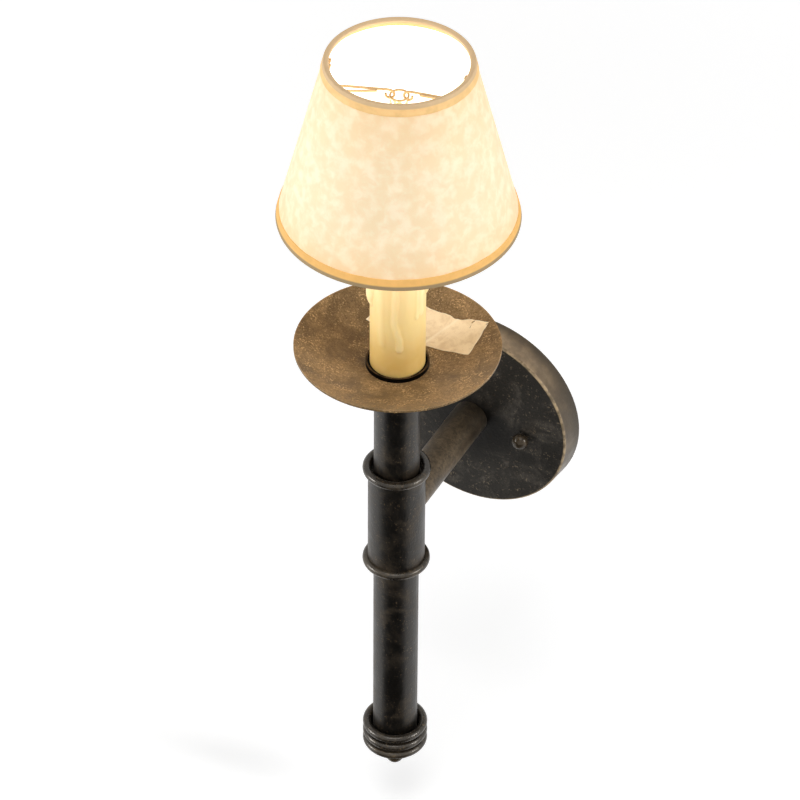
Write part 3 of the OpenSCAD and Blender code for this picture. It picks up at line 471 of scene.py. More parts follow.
def plainMetal(name, colour, rough, grain, metallic=1.0, stain=(0.6, 0.9)):
    # bare or plated metal with faint stains and fine scratches
    mat, tree, body = newMaterial(name, rough, metallic, 0.5)
    where = coordinates(tree)
    stains = step(tree, cloud(tree, where, grain * 0.2, 4.0, 0.6), 0.35, 0.7, *stain)
    baseColour(tree, body, blendColour(tree, 1.0, colour, stains, "MULTIPLY"))
    streaks = cloud(tree, coordinates(tree, (0, 0, 0), (1, 1, 0.15)), grain, 3.0, 0.6)
    put(tree, body.inputs["Roughness"], step(tree, streaks, 0.3, 0.7, rough - 0.08, rough + 0.12))
    bumpBy(tree, body, streaks, 0.12, 0.0002)
    return mat


def moulded(name, colour, rough, speckle=0.85, grain=900.0):
    # plastic, rubber or fibre with a fine orange-peel surface
    mat, tree, body = newMaterial(name, rough, 0.0, 0.4)
    where = coordinates(tree)
    fine = cloud(tree, where, grain, 3.0, 0.6)
    dull = step(tree, cloud(tree, where, grain * 0.12, 3.0, 0.5), 0.35, 0.65, speckle, 1.0)
    baseColour(tree, body, blendColour(tree, 1.0, colour, dull, "MULTIPLY"))
    put(tree, body.inputs["Roughness"], step(tree, fine, 0.3, 0.7, rough - 0.06, rough + 0.1))
    bumpBy(tree, body, fine, 0.15, 0.0002)
    return mat


# what glows: the bulb's light painted as glow in the paper, tape and wax, and the lamp itself
glowSet = {
    "paperMiddle": 0.262,  # the height at which the paper is brightest
    "tintRange": (0.252, 0.272),
    "paper": ((0.65, 0.53, 0.37), (0.68, 0.58, 0.45)),
    # painted shade that tints the paper towards its edges, most at the lower one
    "lowShadeTint": (0.97, 0.78, 0.62),
    "topShadeTint": (1.0, 0.98, 0.95),
    "paperGlow": (1.0, 0.77, 0.42),
    "paperEnds": (1.0, 0.62, 0.23),
    "paperStrength": 0.42,
    "insideStrength": 1.25,
    "bulbBelly": 0.246,
    "bulbColours": ((1.0, 0.90, 0.70), (1.0, 0.50, 0.16)),
    "bulbStrength": 4.4,
}


def parchment():
    s = glowSet
    mat, tree, body = newMaterial("parchment", 0.75, 0.0, 0.2)
    where = coordinates(tree)
    z = parts(tree, where)[2]
    blotches = cloud(tree, where, 150.0, 3.0, 0.55, 0.25)
    large = cloud(tree, where, 48.0, 3.0, 0.5, 0.4)
    spots = step(tree, blotches, 0.36, 0.70)
    wide = step(tree, large, 0.35, 0.70)
    offBelly = math2(tree, "ABSOLUTE", math2(tree, "SUBTRACT", z, s["paperMiddle"]))
    toEnds = step(tree, offBelly, 0.012, 0.062)
    paper = blendColour(tree, spots, *s["paper"])
    # painted shade towards both edges of the paper, away from the bulb
    endShade = blendColour(tree, step(tree, z, *s["tintRange"]), s["lowShadeTint"], s["topShadeTint"])
    paper = blendColour(tree, toEnds, paper, blendColour(tree, 1.0, paper, endShade, "MULTIPLY"))
    baseColour(tree, body, paper)
    # painted glow of the bulb's light through the paper, brightest at the bulb's belly and paler in thin
    # spots
    light = blendColour(tree, toEnds, s["paperGlow"], s["paperEnds"])
    pale = times(tree, spots, 0.22)
    light = blendColour(tree, pale, light, (1.0, 0.95, 0.78))
    level = times(tree, step(tree, toEnds, 0.0, 1.0, 1.0, 0.98), s["paperStrength"])
    level = times(tree, level, plus(tree, times(tree, spots, 0.14), 0.90))
    level = times(tree, level, plus(tree, times(tree, wide, 0.08), 0.95))
    glowBy(tree, body, light, level)
    fibres = cloud(tree, where, 900.0, 4.0, 0.6, 0.8)
    bumpBy(tree, body, fibres, 0.18, 0.0002)
    return mat


def parchmentInside():
    # the side that faces the lit bulb, its light painted on as an even glow
    mat, tree, body = newMaterial("parchmentInside", 0.8, 0.0, 0.1)
    where = coordinates(tree)
    spots = step(tree, cloud(tree, where, 230.0, 4.0, 0.55, 1.4), 0.42, 0.66)
    baseColour(tree, body, blendColour(tree, spots, (0.90, 0.84, 0.74), (0.95, 0.92, 0.86)))
    light = blendColour(tree, spots, (1.0, 0.965, 0.90), (1.0, 0.985, 0.95))
    glowBy(tree, body, light, glowSet["insideStrength"])
    bumpBy(tree, body, cloud(tree, where, 900.0, 3.0, 0.6), 0.15, 0.0002)
    return mat


# tape round the shade's two edges, greyish over the wire ring, with the bulb's light painted on as orange
# glow over bare paper; the lip has painted light on the upper tape and painted shade on the lower one
tapeSet = {
    "lip": (1.7 * mm, 3.0 * mm),
    "upper": {"edgeZ": 0.32068, "into": -1.0, "cloth": (0.47, 0.36, 0.20), "lipClothAndLight": (0.62, 0.455, 0.28),
              "worn": (0.62, 0.48, 0.31), "glow": (1.0, 0.53, 0.13), "strength": 0.49, "lipGlow": 0.10},
    "lower": {"edgeZ": 0.21708, "into": 1.0, "cloth": (0.46, 0.31, 0.13), "lipClothAndLight": (0.38, 0.275, 0.15),
              "worn": (0.42, 0.31, 0.17), "glow": (1.0, 0.47, 0.08), "strength": 0.47, "lipGlow": 0.0},
}


def tapeCloth(name, edge):
    # into is 1 where the tape runs up from its edge and -1 where it runs down
    s = tapeSet[edge]
    mat, tree, body = newMaterial(name, 0.8, 0.0, 0.15)
    where = coordinates(tree)
    z = parts(tree, where)[2]
    fromEdge = times(tree, math2(tree, "SUBTRACT", z, s["edgeZ"]), s["into"])
    overPaper = step(tree, fromEdge, *tapeSet["lip"])
    weave = cloud(tree, where, 1400.0, 2.0, 0.5)
    fold = cloud(tree, where, 140.0, 3.0, 0.6)
    # the lip's colour holds painted light on the upper tape and painted shade under the lower one
    cloth = blendColour(tree, overPaper, s["lipClothAndLight"], s["cloth"])
    cloth = blendColour(tree, step(tree, fold, 0.35, 0.7, 0.0, 0.35), cloth, s["worn"])
    baseColour(tree, body, cloth)
    # painted glow of the bulb's light through the tape, faint on the lip
    slack = step(tree, fold, 0.3, 0.7, 0.88, 1.08)
    level = step(tree, overPaper, 0.0, 1.0, s["lipGlow"], s["strength"])
    glowBy(tree, body, s["glow"], times(tree, slack, level))
    ribs = plus(tree, times(tree, weave, 0.5), fold)
    bumpBy(tree, body, ribs, 0.22, 0.0003)
    return mat


# wax, darker low down, with the bulb's light from above painted on as glow
waxSet = {
    "low": (0.66, 0.42, 0.105),
    "middle": (0.79, 0.60, 0.27),
    "high": (0.76, 0.58, 0.32),
    "lowRange": (0.116, 0.150),
    "highRange": (0.145, 0.185),
    "glow": (1.0, 0.68, 0.24),
    "strength": 0.32,
    "lowGlow": (0.113, 0.150, 0.42, 0.80),
    "highGlow": (0.150, 0.205, 0.0, 0.45),
}


def wax():
    s = waxSet
    mat, tree, body = newMaterial("wax", 0.42, 0.0, 0.45)
    where = coordinates(tree)
    z = parts(tree, where)[2]
    low = step(tree, z, *s["lowRange"])
    high = step(tree, z, *s["highRange"])
    colour = blendColour(tree, high, blendColour(tree, low, s["low"], s["middle"]), s["high"])
    mottle = step(tree, cloud(tree, where, 90.0, 3.0, 0.5, 0.4), 0.35, 0.7)
    colour = blendColour(tree, times(tree, mottle, 0.22), colour, (0.84, 0.64, 0.34))
    thick = tree.nodes.new("ShaderNodeAttribute")
    thick.attribute_name = "thickness"
    runs = step(tree, thick.outputs["Fac"], 0.04, 0.30)
    colour = blendColour(tree, times(tree, runs, 0.5), colour, (0.93, 0.77, 0.46))
    baseColour(tree, body, colour)
    body.inputs["Subsurface Weight"].default_value = 0.25
    body.inputs["Subsurface Radius"].default_value = (0.008, 0.004, 0.0015)
    body.inputs["Subsurface Scale"].default_value = 1.0
    # painted glow of the bulb's light, rising towards the top of the wax
    level = plus(tree, step(tree, z, *s["lowGlow"]), step(tree, z, *s["highGlow"]))
    glowBy(tree, body, s["glow"], times(tree, level, s["strength"]))
    skin = plus(tree, cloud(tree, where, 420.0, 3.0, 0.5), times(tree, mottle, 0.5))
    bumpBy(tree, body, skin, 0.12, 0.0004)
    return mat


def agedPaper():
    mat, tree, body = newMaterial("agedPaper", 0.82, 0.0, 0.15)
    where = coordinates(tree)
    fibres = cloud(tree, where, 1300.0, 3.0, 0.6)
    stains = step(tree, cloud(tree, where, 150.0, 4.0, 0.6, 0.8), 0.42, 0.72)
    colour = blendColour(tree, stains, (0.84, 0.69, 0.47), (0.71, 0.55, 0.35))
    border = tree.nodes.new("ShaderNodeAttribute")
    border.attribute_name = "border"
    edges = step(tree, border.outputs["Fac"], 0.3, 1.0, 0.0, 0.6)
    colour = blendColour(tree, edges, colour, (0.92, 0.82, 0.63))
    colour = blendColour(tree, step(tree, fibres, 0.55, 0.75, 0.0, 0.3), colour, (0.42, 0.31, 0.19))
    baseColour(tree, body, colour)
    creases = cloud(tree, where, 330.0, 3.0, 0.55, 0.7)
    creases = plus(tree, creases, times(tree, fibres, 0.4))
    bumpBy(tree, body, creases, 0.3, 0.0005)
    return mat


def litGlass():
    mat, tree, body = newMaterial("litGlass", 0.12, 0.0, 0.5)
    where = coordinates(tree, (0, stemY, 0))
    z = parts(tree, where)[2]
    # white hot round the filament and amber towards the tip and the neck
    offBelly = math2(tree, "ABSOLUTE", math2(tree, "SUBTRACT", z, glowSet["bulbBelly"]))
    core = step(tree, offBelly, 0.002, 0.024, 1.0, 0.22)
    warmth = step(tree, offBelly, 0.002, 0.016)
    frost = cloud(tree, where, 260.0, 3.0, 0.5)
    baseColour(tree, body, (0.46, 0.34, 0.17))
    light = blendColour(tree, warmth, *glowSet["bulbColours"])
    glowBy(tree, body, light, times(tree, core, glowSet["bulbStrength"]))
    bumpBy(tree, body, frost, 0.05, 0.0002)
    return mat


def glowingWire():
    mat, tree, body = newMaterial("filament", 0.3, 0.8, 0.5)
    hot = step(tree, parts(tree, coordinates(tree))[2], 0.238, 0.252, 0.2, 6.0)
    tone = cloud(tree, coordinates(tree), 900.0)
    baseColour(tree, body, blendColour(tree, tone, (0.75, 0.55, 0.25), (0.95, 0.8, 0.5)))
    glowBy(tree, body, (1.0, 0.86, 0.55), hot)
    return mat


def clipWire(name, glow):
    # plated spring wire, with the bulb's light painted on as glow
    mat, tree, body = newMaterial(name, 0.34, 0.2, 0.4)
    where = coordinates(tree)
    tone = step(tree, cloud(tree, where, 240.0, 3.0, 0.6), 0.35, 0.7)
    baseColour(tree, body, blendColour(tree, tone, (0.42, 0.275, 0.12), (0.54, 0.37, 0.18)))
    # painted glow of the bulb's light
    glowBy(tree, body, (1.0, 0.78, 0.48), glow)
    bumpBy(tree, body, cloud(tree, where, 1500.0), 0.15, 0.0001)
    return mat


# colour, roughness and grain, then how metallic it is and its stains
metalSet = {
    "zinc": ((0.62, 0.61, 0.55), 0.36, 700.0),
    "brass": ((0.72, 0.52, 0.22), 0.30, 700.0),
    "tin": ((0.66, 0.66, 0.68), 0.34, 900.0),
    "turnedSteel": ((0.42, 0.40, 0.36), 0.42, 600.0, 0.9, (0.5, 0.85)),
    "ringSteel": ((0.60, 0.58, 0.50), 0.35, 900.0),
    "greenScrew": ((0.03, 0.22, 0.06), 0.35, 700.0, 0.4),
}

# colour and roughness, then speckle and grain
mouldedSet = {
    "phenolic": ((0.016, 0.014, 0.013), 0.35),
    "fibre": ((0.055, 0.038, 0.024), 0.75, 0.6, 600.0),
    "cement": ((0.012, 0.012, 0.016), 0.25),
    "blackLead": ((0.014, 0.014, 0.014), 0.45),
    "whiteLead": ((0.74, 0.74, 0.70), 0.45),
    "greenLead": ((0.03, 0.20, 0.06), 0.45),
    "connector": ((0.72, 0.16, 0.02), 0.4),
    "nylon": ((0.78, 0.78, 0.74), 0.4),
}

finishes = makeBronzes()
finishes.update({name: plainMetal(name, *look) for name, look in metalSet.items()})
finishes.update({name: moulded(name, *look) for name, look in mouldedSet.items()})
finishes.update({
    "litGlass": litGlass(),
    "filament": glowingWire(),
    # painted glow on the wires, strong on the loops beside the bulb
    "clipWire": clipWire("clipWire", 0.06),
    "loopWire": clipWire("loopWire", 0.75),
    "parchment": parchment(),
    "parchmentInside": parchmentInside(),
    "tapeUpper": tapeCloth("tapeUpper", "upper"),
    "tapeLower": tapeCloth("tapeLower", "lower"),
    "wax": wax(),
    "agedPaper": agedPaper(),
})
print("finishes made:", len(finishes))

# the frame's nodes in each finish
finishNodes = {
    "bronzeCanopy": "canopy",
    "bronzeArm": "arm_pipe",
    "bronzePipe": "stem_pipe sleeve finial_cup finial_cap",
    "bronzeBead": "sleeve_bead_upper sleeve_bead_lower "
                  "finial_ring_upper finial_ring_middle finial_ring_lower",
    "bronzeNut": "ball_nuts finial_ball",
    "bronzeTip": "canopy_screws",
    "bronzePan": "drip_pan",
    "bronzeCup": "candle_cup",
    "zinc": "box_bar fixture_bar bracket_rivet screw_lock_nuts arm_washer socket_bracket",
    "greenScrew": "ground_screw",
    "turnedSteel": "arm_plug stem_top_plug stem_bottom_plug sleeve_bush_upper sleeve_bush_lower",
    "brass": "arm_nipple arm_lock_nut finial_stud top_nipple pan_lock_nut "
             "socket_screw_shell socket_contact bulb_base",
    "nylon": "nipple_bushing",
    "agedPaper": "paper_label",
    "phenolic": "socket_body",
    "fibre": "socket_liner",
    "wax": "candle_cover",
    "tin": "bulb_contact",
    "cement": "bulb_insulator",
    "litGlass": "bulb_glass bulb_mount",
    "filament": "bulb_filament",
    "clipWire": "clip_tip_ring shade_arm_left shade_arm_right",
    "loopWire": "bulb_clip",
    "ringSteel": "shade_ring_upper shade_ring_lower",
    "parchment": "shade_paper",
    "tapeUpper": "shade_tape_upper",
    "tapeLower": "shade_tape_lower",
    "blackLead": "lead_hot",
    "whiteLead": "lead_neutral",
    "greenLead": "lead_ground",
    "connector": "wire_connectors",
}
nodeFinish = {name: finish for finish, names in finishNodes.items() for name in names.split()}
for name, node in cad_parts.items():
    for place in node.material_slots:
        place.link = "OBJECT"
        place.material = finishes[nodeFinish[name]]
print("frame pieces painted")


def addTree(piece, tree, **settings):
    # puts a Geometry Nodes tree on the piece and sets its named inputs
    mod = piece.modifiers.new(tree.name, "NODES")
    mod.node_group = tree
    names = {item.name: item.identifier for item in tree.interface.items_tree if item.in_out == "INPUT"}
    for key, value in settings.items():
        mod[names[key]] = value
    return mod


socketKinds = {float: "NodeSocketFloat", int: "NodeSocketInt", type(None): "NodeSocketMaterial"}


def newTree(name, inputs):
    tree = bpy.data.node_groups.new(name, "GeometryNodeTree")
    tree.interface.new_socket("Geometry", in_out="INPUT", socket_type="NodeSocketGeometry")
    for key, value in inputs.items():
        item = tree.interface.new_socket(key, in_out="INPUT", socket_type=socketKinds[type(value)])
        if value is not None:
            item.default_value = value
    tree.interface.new_socket("Geometry", in_out="OUTPUT", socket_type="NodeSocketGeometry")
    return tree, tree.nodes.new("NodeGroupInput"), tree.nodes.new("NodeGroupOutput")


def closeTree(tree, start, end, geometry):
    # every tree ends smooth, in real geometry and in its material
    for kind in ("SetShadeSmooth", "RealizeInstances", "SetMaterial"):
        node = tree.nodes.new("GeometryNode" + kind)
        tree.links.new(geometry, node.inputs["Geometry"])
        geometry = node.outputs[0]
    tree.links.new(start.outputs["material"], node.inputs["Material"])
    tree.links.new(geometry, end.inputs["Geometry"])


# a round wire that follows the piece's own polylines
wireSides = 12


def wireTree():
    tree, start, end = newTree("roundWire", {
        "wire radius": 0.75 * mm, "spacing": 0.6 * mm, "sides": wireSides, "material": None})
    links = tree.links
    curve = tree.nodes.new("GeometryNodeMeshToCurve")
    spline = tree.nodes.new("GeometryNodeCurveSplineType")
    spline.spline_type = "CATMULL_ROM"
    finer = tree.nodes.new("GeometryNodeResampleCurve")
    finer.mode = "LENGTH"
    ring = tree.nodes.new("GeometryNodeCurvePrimitiveCircle")
    tube = tree.nodes.new("GeometryNodeCurveToMesh")
    tube.inputs["Fill Caps"].default_value = True
    links.new(start.outputs["Geometry"], curve.inputs["Mesh"])
    links.new(curve.outputs[0], spline.inputs["Curve"])
    links.new(spline.outputs[0], finer.inputs["Curve"])
    links.new(start.outputs["spacing"], finer.inputs["Length"])
    links.new(finer.outputs[0], tube.inputs["Curve"])
    links.new(start.outputs["sides"], ring.inputs["Resolution"])
    links.new(start.outputs["wire radius"], ring.inputs["Radius"])
    links.new(ring.outputs[0], tube.inputs["Profile Curve"])
    closeTree(tree, start, end, tube.outputs[0])
    return tree


roundWire = wireTree()


def wirePiece(name, paths, radius, material, spacing=0.6 * mm):
    points, edges = [], []
    for path in paths:
        first = len(points)
        points += path
        edges += [(first + i, first + i + 1) for i in range(len(path) - 1)]
    piece = meshPiece(name, points, [], [], edges=edges)
    addTree(piece, roundWire, **{
        "wire radius": radius, "spacing": spacing, "sides": wireSides, "material": material})
    makeFinal(piece, [material])
    tidyMesh(piece)
    return piece


# the shade's paper wall, from its foot to its mouth
shadeSet = {
    "footRadius": 67.25 * mm,
    "mouthRadius": 40.68 * mm,
    "footZ": 217.40 * mm,
    "mouthZ": 320.13 * mm,
    "paper": 0.5 * mm,
    "waves": 0.44 * mm,
    "waveMiddle": 0.62,
    "waveScale": 2.2,
    "seed": 3.0,
    "around": 193,
    "up": 33,
}


def wallTree():
    # a cone wall with the slight waves of hand-rolled paper
    s = shadeSet
    tree, start, end = newTree("paperWall", {
        "foot radius": s["footRadius"], "mouth radius": s["mouthRadius"], "foot height": s["footZ"],
        "mouth height": s["mouthZ"], "axis y": stemY, "waviness": s["waves"], "seed": s["seed"],
        "around": s["around"], "up": s["up"], "material": None})
    links, given = tree.links, start.outputs
    grid = tree.nodes.new("GeometryNodeMeshGrid")
    grid.inputs["Size X"].default_value = 1.0
    grid.inputs["Size Y"].default_value = 1.0
    links.new(given["around"], grid.inputs["Vertices X"])
    links.new(given["up"], grid.inputs["Vertices Y"])
    across, along = parts(tree, tree.nodes.new("GeometryNodeInputPosition").outputs[0])[:2]
    angle = times(tree, plus(tree, across, 0.5), 2 * math.pi)
    rise = plus(tree, along, 0.5)
    gap = math2(tree, "SUBTRACT", given["mouth radius"], given["foot radius"])
    radius = plus(tree, times(tree, gap, rise), given["foot radius"])
    tall = math2(tree, "SUBTRACT", given["mouth height"], given["foot height"])
    height = plus(tree, times(tree, tall, rise), given["foot height"])
    cosine = math2(tree, "COSINE", angle)
    sine = math2(tree, "SINE", angle)
    waves = tree.nodes.new("ShaderNodeTexNoise")
    waves.noise_dimensions = "4D"
    links.new(joined(tree, cosine, sine, rise), waves.inputs["Vector"])
    links.new(given["seed"], waves.inputs["W"])
    waves.inputs["Scale"].default_value = s["waveScale"]
    waves.inputs["Detail"].default_value = 1.5
    # the waves die out at both edges, where the wire rings hold the paper round
    held = times(tree, times(tree, rise, math2(tree, "SUBTRACT", 1.0, rise)), 4.0)
    push = times(tree, math2(tree, "SUBTRACT", waves.outputs["Fac"], s["waveMiddle"]), given["waviness"])
    radius = plus(tree, radius, times(tree, push, held))
    depth = plus(tree, times(tree, sine, radius), given["axis y"])
    move = tree.nodes.new("GeometryNodeSetPosition")
    links.new(grid.outputs["Mesh"], move.inputs["Geometry"])
    links.new(joined(tree, times(tree, cosine, radius), depth, height), move.inputs["Position"])
    merge = tree.nodes.new("GeometryNodeMergeByDistance")
    merge.inputs["Distance"].default_value = doubles
    links.new(move.outputs[0], merge.inputs["Geometry"])
    closeTree(tree, start, end, merge.outputs[0])
    return tree


def makeShadeWall():
    s = shadeSet
    piece = meshPiece("shadePaper", [(0, 0, 0)], [], [])
    addTree(piece, wallTree(), material=finishes["parchment"])
    makeFinal(piece, [finishes["parchment"], finishes["parchmentInside"]])
    tidyMesh(piece)
    middle = piece.data.polygons[0]
    if middle.normal.dot(middle.center - Vector((0, stemY, middle.center.z))) < 0:
        piece.data.flip_normals()
    wall = piece.modifiers.new("paper", "SOLIDIFY")
    wall.thickness = s["paper"]
    wall.offset = -1
    makeFinal(piece)
    for face in piece.data.polygons:
        outwards = face.normal.dot(face.center - Vector((0, stemY, face.center.z)))
        face.material_index = 0 if outwards > 0 else 1
    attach(piece, "shade")
    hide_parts("shade_paper")


makeShadeWall()
print("shade wall made")


# the cone of the shade's outer face and the tape folded over its edges, in mm
coneSet = {"foot": (67.8, 217.076), "inward": 26.8, "tall": 103.6, "slant": 107.01}
foldSet = {
    "around": 240,
    # from the free edge over the wire ring and back inside: how far up the slope, and how far out
    "section": [
        (6.6, -0.46), (6.6, -0.12), (6.42, -0.02), (5.2, 0.0), (4.0, 0.0), (2.8, 0.0), (1.7, 0.0),
        (0.95, -0.02), (0.5, -0.08), (0.2, -0.24), (0.05, -0.5), (0.0, -0.9), (0.0, -1.7), (0.02, -2.5),
        (0.12, -3.0), (0.36, -3.32), (0.8, -3.48), (1.6, -3.52), (2.3, -3.4), (2.9, -2.9), (3.4, -2.0),
        (4.0, -1.42), (5.2, -1.28), (6.2, -1.24), (6.4, -0.98)],
    "freeFrom": 4.2,
    "freeWidth": 2.4,
    "ragged": 0.22,
    "frayed": 0.12,
    "slack": 0.06,
}


def wallPoint(s, d):
    # s up the shade's slope from its lower edge, d outwards from its outer face
    c = coneSet
    inward, tall = c["inward"] / c["slant"], c["tall"] / c["slant"]
    return c["foot"][0] - s * inward + d * tall, c["foot"][1] + s * tall + d * inward


def makeTape(name, node, edge, into, seed, material):
    s = foldSet
    section, count = s["section"], s["around"]
    points, faces = [], []
    for i in range(count):
        a = 2 * math.pi * i / count
        at = Vector((math.cos(a), math.sin(a), 0))
        shift = Vector((0, 0, seed))
        ragged = s["ragged"] * noise.noise(at * 7 + shift) + s["frayed"] * noise.noise(at * 31 + shift)
        soft = s["slack"] * noise.noise(at * 11 + Vector((0, 3, seed)))
        for t, d in section:
            free = max(0.0, (t - s["freeFrom"]) / s["freeWidth"])
            r, z = wallPoint(edge + into * (t + ragged * free), d - abs(soft) * (1 if d > -0.6 else 0.4))
            points.append((r * at.x * mm, stemY + r * at.y * mm, z * mm))
    n = len(section)
    for i in range(count):
        j = (i + 1) % count
        faces += [(i * n + k, i * n + (k + 1) % n, j * n + (k + 1) % n, j * n + k) for k in range(n)]
    piece = meshPiece(name, points, faces, [material])
    tidyMesh(piece)
    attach(piece, "shade")
    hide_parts(node)


makeTape("tapeUpper", "shade_tape_upper", coneSet["slant"], -1, 2.0, finishes["tapeUpper"])
makeTape("tapeLower", "shade_tape_lower", 0.0, 1, 5.0, finishes["tapeLower"])
print("tapes made")

# wax candle cover, in mm and degrees from +X
candleSet = {
    "radius": 15.8,
    "bore": 12.7,
    "foot": 113.3,
    "top": 214.9,
    "proudest": 2.15,
    "around": 220,
    "up": 170,
    # each run's angle, foot, half width, how proud it and its bead stand, and how it wanders on its way down
    "runs": [
        (-68, 133.5, 1.8, 0.5, 0.2, [(215, 0), (176, 0.5), (153, -2.5), (146, 2.5), (140, 8), (130, 8)]),
        (-102, 136.5, 2.7, 0.35, 0.0, [(215, -2), (150, 0), (137, 3)]),
        (-9, 156.0, 2.0, 0.5, 0.3, [(215, 1), (156, 0)]),
        (-21, 154.0, 1.2, 0.3, 0.3, [(215, 3), (154, 0)]),
        (-146, 164.0, 5.6, 2.15, 0.0, [(215, 0), (164, 0)]),
        (26, 169.5, 4.6, 2.0, 0.0, [(215, 0), (169, 0)]),
        (-40, 184.0, 2.6, 0.9, 0.5, [(215, 0), (184, -2)]),
        (-86, 181.0, 2.2, 0.7, 0.5, [(215, 2), (181, 0)]),
        (172, 152.0, 2.8, 1.6, 0.5, [(215, 3), (152, -2)]),
        (140, 172.0, 3.2, 1.9, 0.2, [(215, -2), (172, 2)]),
        (108, 143.0, 2.5, 1.2, 0.8, [(215, 3), (165, 0), (143, -4)]),
        (78, 166.0, 3.6, 1.9, 0.2, [(215, 0), (166, 3)]),
        (52, 186.0, 2.6, 1.5, 0.4, [(215, 0), (186, 0)]),
    ],
    "collar": (0.9, 207, 1.1),  # how proud the melted collar at the top stands, from what height, how softly
    "skin": 0.05,
    "dip": 0.9,
    "dipFrom": 211,
}


def shifted(wander, z):
    # how far a run strays from its angle at height z
    for (z0, a0), (z1, a1) in zip(wander, wander[1:]):
        if z >= z1:
            t = (z - z1) / (z0 - z1)
            t = t * t * (3 - 2 * t)
            return a1 + (a0 - a1) * min(1.0, t)
    return wander[-1][1]


def waxDepth(angle, z):
    # how proud the wax stands at this place
    s = candleSet
    total = 0.0
    for at, foot, halfWidth, proud, bead, wander in s["runs"]:
        off = (angle - (at + shifted(wander, z)) + 180) % 360 - 180
        away = math.radians(off) * s["radius"]
        half = halfWidth * (1 + 0.12 * noise.noise(Vector((at, z / 9, 0))))
        nearFoot = z - foot
        if nearFoot < 0:
            # the run ends in a round foot
            down = min(1.0, -nearFoot / half)
            depth = (proud + bead) * math.sqrt(1 - down * down) * max(0.0, 1 - (away / half) ** 2) ** 0.5
        else:
            wide = half * (1 + 0.25 * (bead > 0) * math.exp(-(nearFoot / 4.0) ** 2))
            side = max(0.0, 1 - (away / (wide * 1.15)) ** 2)
            depth = (proud + bead * math.exp(-(nearFoot / 4.5) ** 2)) * side ** 0.75
        total = max(total, depth) + 0.25 * min(total, depth)
    proud, start, softness = s["collar"]
    start += 1.6 * noise.noise(Vector((angle / 30, 3, 0)))
    collar = proud / (1 + math.exp((start - z) / softness))
    total = max(total, collar) + 0.2 * min(total, collar)
    return min(total, s["proudest"] + 0.05)


def candlePoint(r, at, z):
    # the top edge dips unevenly
    s = candleSet
    dip = s["dip"] * abs(noise.noise(at * 2.4 + Vector((9, 0, 0)))) * max(0.0, (z - s["dipFrom"]) / 3.9)
    return r * at.x * mm, stemY + r * at.y * mm, (z - dip) * mm


def makeCandle():
    s = candleSet
    n, m = s["around"], s["up"]
    outside, bore, faces, depths = [], [], [], []
    for j in range(m + 1):
        z = s["foot"] + (s["top"] - s["foot"]) * j / m
        fromEnd = min(z - s["foot"], s["top"] - z)
        inset = 0.5 * max(0.0, 1 - fromEnd / 0.9) ** 2
        for i in range(n):
            angle = 360.0 * i / n - 180
            depth = waxDepth(angle, z)
            at = Vector((math.cos(math.radians(angle)), math.sin(math.radians(angle)), 0))
            skin = s["skin"] * noise.noise(at * 5 + Vector((0, 0, z / 14))) - s["skin"]
            outside.append(candlePoint(s["radius"] + depth + skin - inset, at, z))
            bore.append(candlePoint(s["bore"], at, z))
            depths.append(depth / s["proudest"])
    inner = len(outside)
    for low in range(0, m * n, n):
        high = low + n
        for i in range(n):
            k = (i + 1) % n
            faces.append((low + i, low + k, high + k, high + i))
            faces.append((inner + low + i, inner + high + i, inner + high + k, inner + low + k))
    for i in range(n):
        k = (i + 1) % n
        faces.append((i, inner + i, inner + k, k))
        faces.append((m * n + i, m * n + k, inner + m * n + k, inner + m * n + i))
    points, depths = outside + bore, depths + [0.0] * inner
    piece = meshPiece("waxCandle", points, faces, [finishes["wax"]])
    layer = piece.data.attributes.new("thickness", "FLOAT", "POINT")
    layer.data.foreach_set("value", depths)
    tidyMesh(piece)
    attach(piece, "candle")
    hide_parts("candle_cover")


makeCandle()
print("candle made")

# blank aged label that lies in the pan, in mm
labelSet = {
    "width": 67.0,
    "height": 25.0,
    "middle": (2.5, 32.4),
    "turn": -2.0,
    "bowlCentre": 235.16,
    "bowlRadius": 124.71,
    "floorRadius": 19.5,
    "floorZ": 112.0,
    "lift": 0.06,
    "paper": 0.22,
    "columns": 110,
    "rows": 44,
}


